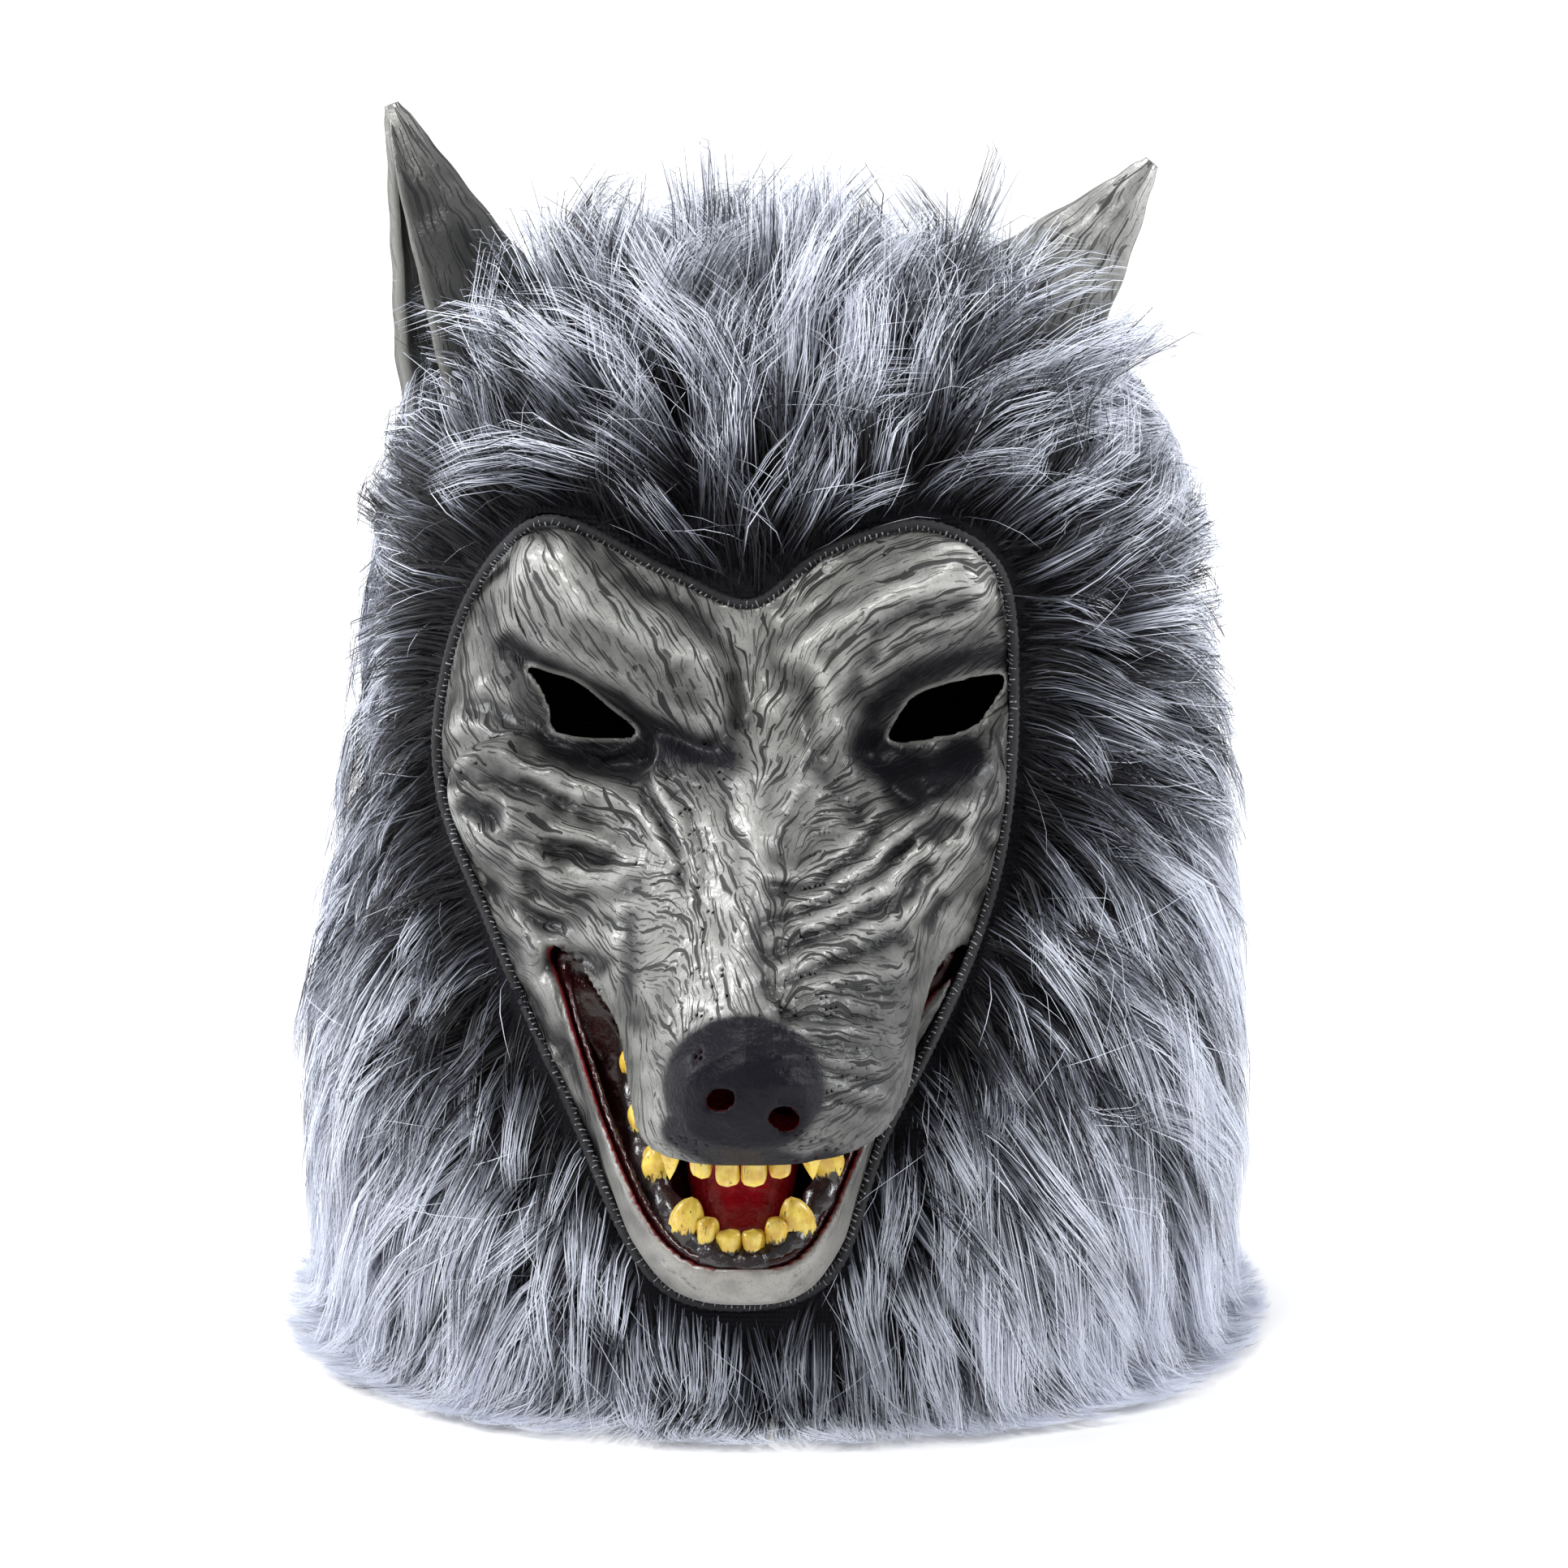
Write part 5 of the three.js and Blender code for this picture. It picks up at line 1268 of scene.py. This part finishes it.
def backing():
    """The hood's cloth: two nested shells closed at the hem, with the face's opening cut out."""
    around, up = 112, 46
    rise = np.interp(np.linspace(0, 1, up), np.linspace(0, 1, len(HOOD_SECTIONS)), HOOD_SECTIONS[:, 0])
    turn = 2 * np.pi * np.arange(around) / around
    rings = []
    for inset, order in ((0.0, rise), (3.0, rise[::-1])):
        for r in order:
            z = np.full(around, r * HOOD_SIZE["height"])
            p = hood_point(turn, z)
            middle = np.array([0, HOOD_SIZE["axis"], 0])
            flat = (p - middle) * [1, 1, 0]
            length = np.linalg.norm(flat, axis=1, keepdims=True)
            p -= unit(flat) * np.minimum(inset, length * 0.8)
            p[:, 2] -= inset * max(0, (r - 0.8) / 0.2)
            rings.append(p)
    # outer rings rise to the crown, inner rings come back down to the hem
    outer, inner = rings[:up], rings[up:]
    top = outer[-1].mean(0)
    points = np.concatenate([*outer, top[None], *inner, inner[0].mean(0)[None]])
    faces = [ring_faces(up, around), ring_faces(up, around) + up * around + 1]
    i, j = np.arange(around), (np.arange(around) + 1) % around
    last_inner = up * around + 1 + (up - 1) * around
    faces.append(np.stack([last_inner + i, last_inner + j, j, i], 1))
    fan_out = np.stack([(up - 1) * around + i, (up - 1) * around + j, np.full(around, up * around)], 1)
    first_inner = up * around + 1
    fan_in = np.stack([first_inner + j, first_inner + i, np.full(around, len(points) - 1)], 1)
    faces = [np.concatenate(faces), fan_out, fan_in]
    cloth = make_piece("hood_backing", points, faces, backing_material())
    # the opening, a prism along Y
    corners = np.array(seam_line)
    centre = corners.mean(0)
    corners = centre + (corners - centre) * (1 + 0.3 / 90)
    m = len(corners)
    front = np.insert(corners, 1, -400, axis=1)
    rear = np.insert(corners, 1, HOOD_SIZE["axis"], axis=1)
    prism = bpy.data.meshes.new("opening")
    i = list(range(m))
    sides = [(a, (a + 1) % m, m + (a + 1) % m, m + a) for a in i]
    caps = [tuple(i[::-1]), tuple(m + a for a in i)]
    prism.from_pydata((np.concatenate([front, rear]) * MM).tolist(), [], [*caps, *sides])
    cutter = add_object("opening", prism)
    for mesh in (prism, cloth.data):
        orient(mesh)
    made = cloth.modifiers.new("opening", "BOOLEAN")
    made.operation, made.object, made.solver = "DIFFERENCE", cutter, "EXACT"
    graph = bpy.context.evaluated_depsgraph_get()
    result = bpy.data.meshes.new_from_object(cloth.evaluated_get(graph))
    cloth.modifiers.clear()
    cloth.data = result
    result.polygons.foreach_set("use_smooth", np.full(len(result.polygons), True))
    bpy.data.objects.remove(cutter)
    return cloth


def orient(mesh):
    """Turns a closed mesh's faces outwards."""
    work = bmesh.new()
    work.from_mesh(mesh)
    bmesh.ops.recalc_face_normals(work, faces=work.faces)
    work.to_mesh(mesh)
    work.free()


cloth = backing()
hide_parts(*HOOD_NODES)

# ---------------------------------------------------------------- stitching round the face


def edge_front(x, z):
    """The y of the outer surface of the face at a point of its edge."""
    i = np.clip(np.round((x - GRID_LOW[0]) / STEP).astype(int), 0, GRID_SHAPE[0] - 1)
    k = np.clip(np.round((z - GRID_LOW[2]) / STEP).astype(int), 0, GRID_SHAPE[2] - 1)
    columns = body[i, :, k] < 0
    first = columns.argmax(1)
    y = axes[1][first]
    return np.where(columns.any(1), y, hood_front_y(x, z))


def seam_path(count, out):
    """Evenly spaced points of the seam, moved outwards in the front view."""
    line = np.concatenate([seam_line, seam_line[:1]])
    y = edge_front(*(seam_line + (seam_line.mean(0) - seam_line) * 0.02).T)
    for _ in range(12):
        y = (np.roll(y, 1) + y * 2 + np.roll(y, -1)) / 4
    full = raise_folds(np.stack([line[:, 0], np.concatenate([y, y[:1]]), line[:, 1]], 1))
    length = np.concatenate([[0], np.cumsum(np.linalg.norm(np.diff(full, axis=0), axis=1))])
    at = np.linspace(0, length[-1], count, endpoint=False)
    points = np.stack([np.interp(at, length, full[:, k]) for k in range(3)], 1)
    ahead = unit(np.roll(points, -1, 0) - np.roll(points, 1, 0))
    outward = unit(np.cross(ahead, [0, -1, 0]))
    middle = np.array([seam_line[:, 0].mean(), 0, seam_line[:, 1].mean()])
    flip = np.sign(((points - middle) * [1, 0, 1] * outward).sum(1).sum())
    outward *= flip
    return points + outward * out, ahead, outward, length[-1]


def thread_material(name, low, high, sheen):
    n = Nodes(name)
    place = n.place()
    twist = n.noise(place, 1400, 2.0)
    tone = n.mix(n.span(twist, 0.35, 0.65), low, high)
    rough = n.plus(0.55, n.times(twist, 0.3))
    return n.finish(tone, rough, n.bump(twist, 0.7, 0.0003), Sheen_Weight=sheen)


def stitching():
    """The overlocked edge round the face: a bound roll and its loops of thread."""
    count = 640
    path, ahead, outward, length = seam_path(count, 1.0)
    sides = 8
    radius = 1.5 + 0.2 * np.sin(np.arange(count) * 2 * np.pi * 270 / count)
    ring = path[:, None] + radius[:, None, None] * circles(outward, np.cross(outward, ahead), sides)
    # the last ring joins the first
    faces = ring_faces(count + 1, sides) % (count * sides)
    black = thread_material("overlock_cloth", (0.003, 0.003, 0.004), (0.012, 0.012, 0.015), 0.0)
    make_piece("overlock_edge", ring.reshape(-1, 3), faces, black)
    loops = int(length / 1.7)
    at, along, out, _ = seam_path(loops, 0.7)
    high = np.cross(out, along)
    facing_out = np.sign((high @ TO_CAMERA).sum())
    high *= facing_out
    parts = []
    local = np.random.default_rng(9)
    for p, a, o, h in zip(at, along, out, high):
        first = local.uniform(0.1, 0.9)
        t = np.linspace(first, first + local.uniform(0.5, 1.3), 6)[:, None]
        lift = local.uniform(1.6, 1.9)
        arc = p + o * (0.3 - 1.75 * np.cos(t)) + h * lift * np.sin(t) + a * (t - 1) * local.uniform(-0.2, 0.8)
        parts.append(tube(arc, np.full(6, local.uniform(0.1, 0.24)), 4, up=tuple(a)))
    points, faces = merge(parts)
    white = thread_material("overlock_thread", (0.05, 0.052, 0.06), (0.42, 0.44, 0.48), 0.1)
    make_piece("overlock_loops", points, faces, white)


stitching()

# ---------------------------------------------------------------- fur


def fur_material(name):
    n = Nodes(name)
    along, shade = n.attribute("along"), n.attribute("shade")
    place = n.place()
    patch = n.noise(place, 26, 3.0, 0.6)
    whiteness = n.plus(n.times(along, 1.25), shade)
    whiteness = n.plus(whiteness, n.swing(patch, 1.1))
    tone = n.coats(
        (0.004, 0.004, 0.006), (n.span(whiteness, 0.06, 0.44), (0.11, 0.118, 0.155)),
        (n.span(whiteness, 0.38, 0.92), (0.8, 0.84, 0.95)),
    )
    grain = n.noise(place, 700, 2.0)
    rough = n.plus(0.36, n.times(grain, 0.2))
    return n.finish(tone, rough, n.bump(grain, 0.15, 0.0002), Specular_IOR_Level=0.3)


def height_at(row):
    """The height of a place between the rows of the hood's sections."""
    return np.interp(row, np.arange(len(HOOD_SECTIONS)), HOOD_SECTIONS[:, 0]) * HOOD_SIZE["height"]


def hood_samples(count, seed):
    """Points spread evenly over the hood, with normals."""
    local = np.random.default_rng(seed)
    got_p, got_n, have = [], [], 0
    while have < count:
        angle = local.uniform(0, 2 * np.pi, count)
        row = local.uniform(0, len(HOOD_SECTIONS) - 1, count)
        z = height_at(row)
        p = hood_point(angle, z)
        beside = hood_point(angle + 0.01, z) - p
        above = hood_point(angle, height_at(np.minimum(row + 0.02, len(HOOD_SECTIONS) - 1.001))) - p
        area = np.linalg.norm(np.cross(beside, above), axis=1)
        keep = local.uniform(0, np.quantile(area, 0.995), count) < area
        p, angle, z = p[keep], angle[keep], z[keep]
        seam = polygon_distance(p[:, [0, 2]], seam_line)
        free = (p[:, 1] > HOOD_SIZE["axis"]) | (seam > 1.5)
        for ear in EARS:
            q = unseat_ear(p, ear)
            rows = smooth_rows(EAR_SECTIONS, np.clip(q[:, 2] / EAR_LENGTH, 0, 1))
            half_x = rows[:, 1] * ear["width"] * EAR_WIDTH / 2 + 1
            half_y = rows[:, 2] * EAR_DEPTH / 2 + 1
            inside = (q[:, 0] / half_x) ** 2 + (q[:, 1] / half_y) ** 2 < 1
            free &= ~(inside & (q[:, 2] > -6))
        # fewer at the back, where only long locks are seen
        back = smooth_step(p[:, 1], 40, 110)
        free &= local.uniform(0, 1, len(p)) > 0.35 * back
        p, angle, z = p[free], angle[free], z[free]
        got_p.append(p)
        got_n.append(hood_normal(angle, z))
        have += len(p)
    return np.concatenate(got_p)[:count], np.concatenate(got_n)[:count]


# How far the pile may stand off the hood, in mm: heights, and the reach at each
PILE_REACH = [0, 14, 60, 110, 200, 312], [34, 24, 29, 34, 34, 38]


def held_near(p):
    """Presses points that stand far off the hood back towards it."""
    side, front, back = hood_extents(p[:, 2])
    flat = p[:, :2] - [0, HOOD_SIZE["axis"]]
    deep = np.where(flat[:, 1] > 0, back, front)
    power = HOOD_ROUNDNESS
    ratio = (np.abs(flat[:, 0] / side) ** power + np.abs(flat[:, 1] / deep) ** power) ** (1 / power)
    radius = np.linalg.norm(flat, axis=1)
    surface = radius / np.maximum(ratio, 1e-3)
    reach = np.interp(p[:, 2], *PILE_REACH)
    excess = np.maximum(radius - surface, 0)
    held = np.where(excess > reach * 0.4, reach * (0.4 + 0.6 * np.tanh((excess / reach - 0.4) / 0.6)), excess)
    scale = np.where(excess > 0, (surface + held) / np.maximum(radius, 1e-3), 1)
    moved = p.copy()
    moved[:, :2] = flat * np.where(p[:, 2] < 290, scale, 1)[:, None] + [0, HOOD_SIZE["axis"]]
    return moved


def flow_at(p, normal):
    """The way the pile lies, along the hood's surface."""
    x, y, z = p.T
    away = unit(np.stack([x - FACE_MIDDLE[0], 0 * x, z - FACE_MIDDLE[1] - 20], 1))
    away[:, 1] = 0.45
    away[:, 2] -= 1.2 * np.clip((240 - z) / 120, 0, 1)
    behind = np.stack([x / 260, 0.25 + 0 * x, -1 + 0 * x], 1)
    w = smooth_step(y, 10, 95)[:, None]
    flow = away * (1 - w) + behind * w
    flow -= (flow * normal).sum(1, keepdims=True) * normal
    return unit(flow)


def strands(count, seed, length, lift, width, segments, clump_count, under):
    """Hair as tapering ribbons: points, faces and values."""
    local = np.random.default_rng(seed)
    root, normal = hood_samples(count, seed + 1)
    flow = flow_at(root, normal)
    seam = polygon_distance(root[:, [0, 2]], seam_line)
    front = root[:, 1] < HOOD_SIZE["axis"]
    by_seam = np.where(front, smooth_step(-seam, -30, -3), 0)
    # locks: one strand in many leads, the rest lean towards it
    leaders = local.choice(count, clump_count, replace=False)
    tree = kdtree.KDTree(clump_count)
    for i, leader in enumerate(leaders):
        tree.insert(root[leader], i)
    tree.balance()
    own = np.array([tree.find(p)[1] for p in root])
    c_turn = local.normal(0, 0.26, clump_count)
    c_lift = local.uniform(0.75, 1.3, clump_count)
    c_long = local.uniform(0.8, 1.12, clump_count)
    c_curl = local.normal(0, 0.6, clump_count)
    c_wave = local.uniform(0, 6.28, clump_count)
    c_shade = local.uniform(-0.46, 0.24, clump_count)
    stray = local.uniform(0, 1, count) < (0.0 if under else 0.035)
    turn = c_turn[own] + local.normal(0, 0.07, count) + stray * local.normal(0, 0.6, count)
    sideways = np.cross(normal, flow)
    heading = flow * np.cos(turn)[:, None] + sideways * np.sin(turn)[:, None]
    level = np.interp(root[:, 2], [0, 60, 160, 240, 312], [0.3, 0.65, 0.85, 1.0, 1.1])
    level *= 1 - 0.3 * smooth_step(root[:, 1], 30, 110)
    high = lift * level * c_lift[own] * local.uniform(0.85, 1.15, count) * (1 + 0.4 * stray)
    long = length * c_long[own] * local.uniform(0.78, 1.1, count) * (1 - 0.52 * by_seam) * (1 - 0.2 * stray)
    long *= 1 - 0.3 * smooth_step(root[:, 2], 292, 312) - 0.12 * smooth_step(-root[:, 2], -150, -60)
    long = np.minimum(long, (root[:, 2] + 46) * local.uniform(0.7, 1.3, count))
    curl = c_curl[own] + local.normal(0, 0.12, count) + stray * local.normal(0, 0.8, count)
    steps = segments + 1
    path = np.zeros((steps, count, 3))
    aim = np.zeros((steps, count, 3))
    fine = 4
    position = root - normal * 1.5
    down = np.array([0, 0, -1.0])
    for s in range(segments * fine + 1):
        t = s / (segments * fine)
        rise = high * (1 - t) ** 1.2 - 0.2 * t
        direction = normal * rise[:, None] + heading * (0.75 + 0.2 * t) + down * (0.08 + 0.5 * t)
        bend = curl * (t - 0.25) * 0.7 + 0.16 * np.sin(6 * t + c_wave[own])
        direction = unit(direction + sideways * bend[:, None])
        if s % fine == 0:
            path[s // fine] = position
            aim[s // fine] = direction
        position = position + direction * (long / (segments * fine))[:, None]
    # towards the leader's line, the tips closest
    gather = (0.4 if under else 0.68) * (1 - stray) * local.uniform(0.6, 1.1, count)
    gather *= 1 - 0.3 * smooth_step(root[:, 2], 215, 280)
    for k in range(1, steps):
        t = k / segments
        pull = (gather * t)[:, None]
        path[k] += (path[k][leaders][own] - path[k]) * pull
    # nothing under the floor: what would be lies on it, and no lock stands far off the hood
    for k in range(steps):
        under_floor = np.maximum(0.8 + 0.7 * k - path[k][:, 2], 0)
        path[k][:, :2] += unit(root[:, :2] - [0, HOOD_SIZE["axis"]]) * (under_floor * 0.7)[:, None]
        path[k][:, 2] += under_floor
        path[k] = held_near(path[k])
    twist = local.uniform(-0.9, 0.9, count)
    wide = width * local.uniform(0.7, 1.25, count) * (1 - 0.35 * stray)
    side = unit(np.cross(aim, normal[None]))
    cross = np.cross(aim, side)
    side = side * np.cos(twist)[None, :, None] + cross * np.sin(twist)[None, :, None]
    taper = np.linspace(1, 0, steps) ** 0.6
    half = (0.5 * wide[None] * taper[:, None])[..., None] * side
    left, right = path - half, path + half
    per = 2 * segments + 1
    points = np.zeros((count, per, 3), np.float32)
    for k in range(segments):
        points[:, 2 * k] = left[k]
        points[:, 2 * k + 1] = right[k]
    points[:, -1] = path[-1]
    base = np.arange(count) * per
    quads = [np.stack([base + 2 * k + corner for corner in (0, 1, 3, 2)], 1) for k in range(segments - 1)]
    tip = np.stack([base + 2 * segments - 2, base + 2 * segments - 1, base + per - 1], 1)
    along = np.zeros((count, per), np.float32)
    for k in range(segments):
        along[:, 2 * k] = along[:, 2 * k + 1] = k / segments
    along[:, -1] = 1
    shade = c_shade[own] + local.normal(0, 0.17, count) + 0.25 * stray + 0.1
    shade -= by_seam * (0.18 + 0.26 * smooth_step(root[:, 2], 130, 230))
    shade += 0.3 * smooth_step(-root[:, 2], -130, -30)
    shade -= 0.5 * (local.uniform(0, 1, count) < 0.2)
    shade -= 0.9 if under else 0
    shade = np.repeat(shade[:, None], per, 1)
    return points, quads, tip, along, shade, per


def fur_pieces(name, material, parts, **options):
    points, quads, tip, along, shade, per = strands(**options)
    order = np.argsort(np.arctan2(points[:, 0, 1] - HOOD_SIZE["axis"], points[:, 0, 0]))
    for part, rows in enumerate(np.array_split(order, parts)):
        moved = np.zeros(len(points), np.int64)
        moved[rows] = np.arange(len(rows))
        shift = (moved[rows] - rows) * per
        faces = [np.concatenate([q[rows] + shift[:, None] for q in quads]), tip[rows] + shift[:, None]]
        make_piece(f"{name}_{part + 1}", points[rows].reshape(-1, 3), faces, material, HOOD_NODES,
                   values=dict(along=along[rows].ravel(), shade=shade[rows].ravel()))


share = 1.0
fur_look = fur_material("silver_pile")
under_look = fur_material("under_pile")
fur_pieces("under_fur", under_look, 1, count=int(26000 * share), seed=31, length=19, lift=1.2, width=0.6,
           segments=2, clump_count=1500, under=True)
fur_pieces("long_fur", fur_look, 4, count=int(80000 * share), seed=57, length=84, lift=1.1, width=0.42,
           segments=4, clump_count=2300, under=False)

# ---------------------------------------------------------------- floor, light, camera


def floor():
    mesh = bpy.data.meshes.new("floor")
    size = 30.0
    corners = [(-size, -size, 0), (size, -size, 0), (size, size, 0), (-size, size, 0)]
    mesh.from_pydata(corners, [], [(0, 1, 2, 3)])
    plane = add_object("floor", mesh)
    n = Nodes("pale_floor")
    tone = n.mix(n.noise(n.place(), 3.0, 2.0), (0.86, 0.86, 0.86), (0.9, 0.9, 0.9))
    # the paper lights up away from the object, so that it stays white where no lamp reaches
    far = n.add("ShaderNodeVectorMath", {0: n.place()}, operation="LENGTH").outputs["Value"]
    n.put(n.shader.inputs["Emission Strength"], n.span(far, 0.3, 1.3, 0.12, 0.98))
    mesh.materials.append(n.finish(tone, 0.8, Emission_Color=(1, 1, 1, 1)))


def light(name, at, target, size, power, colour=(1, 1, 1)):
    data = bpy.data.lights.new(name, "AREA")
    data.shape, data.size, data.energy, data.color = "DISK", size, power, colour
    point_at(add_object(name, data), at, Vector(target) - Vector(at))


floor()
world = bpy.data.worlds.new("studio")
world.use_nodes = True
world.node_tree.nodes["Background"].inputs[0].default_value = (1, 1, 1, 1)
world.node_tree.nodes["Background"].inputs[1].default_value = 0.32
bpy.context.scene.world = world
light("key", (-0.5, -1.0, 1.5), (0, -0.05, 0.2), 0.5, 17, (1, 0.99, 0.98))
light("left", (-1.3, 0.1, 0.75), (0, 0, 0.16), 0.5, 13, (0.97, 0.98, 1))
light("right", (1.3, 0.0, 0.75), (0, 0, 0.16), 0.5, 11, (0.97, 0.98, 1))
light("top", (0.0, 0.5, 1.4), (0, 0, 0.2), 0.6, 13)
bpy.context.scene.view_settings.view_transform = "Standard"
make_camera()
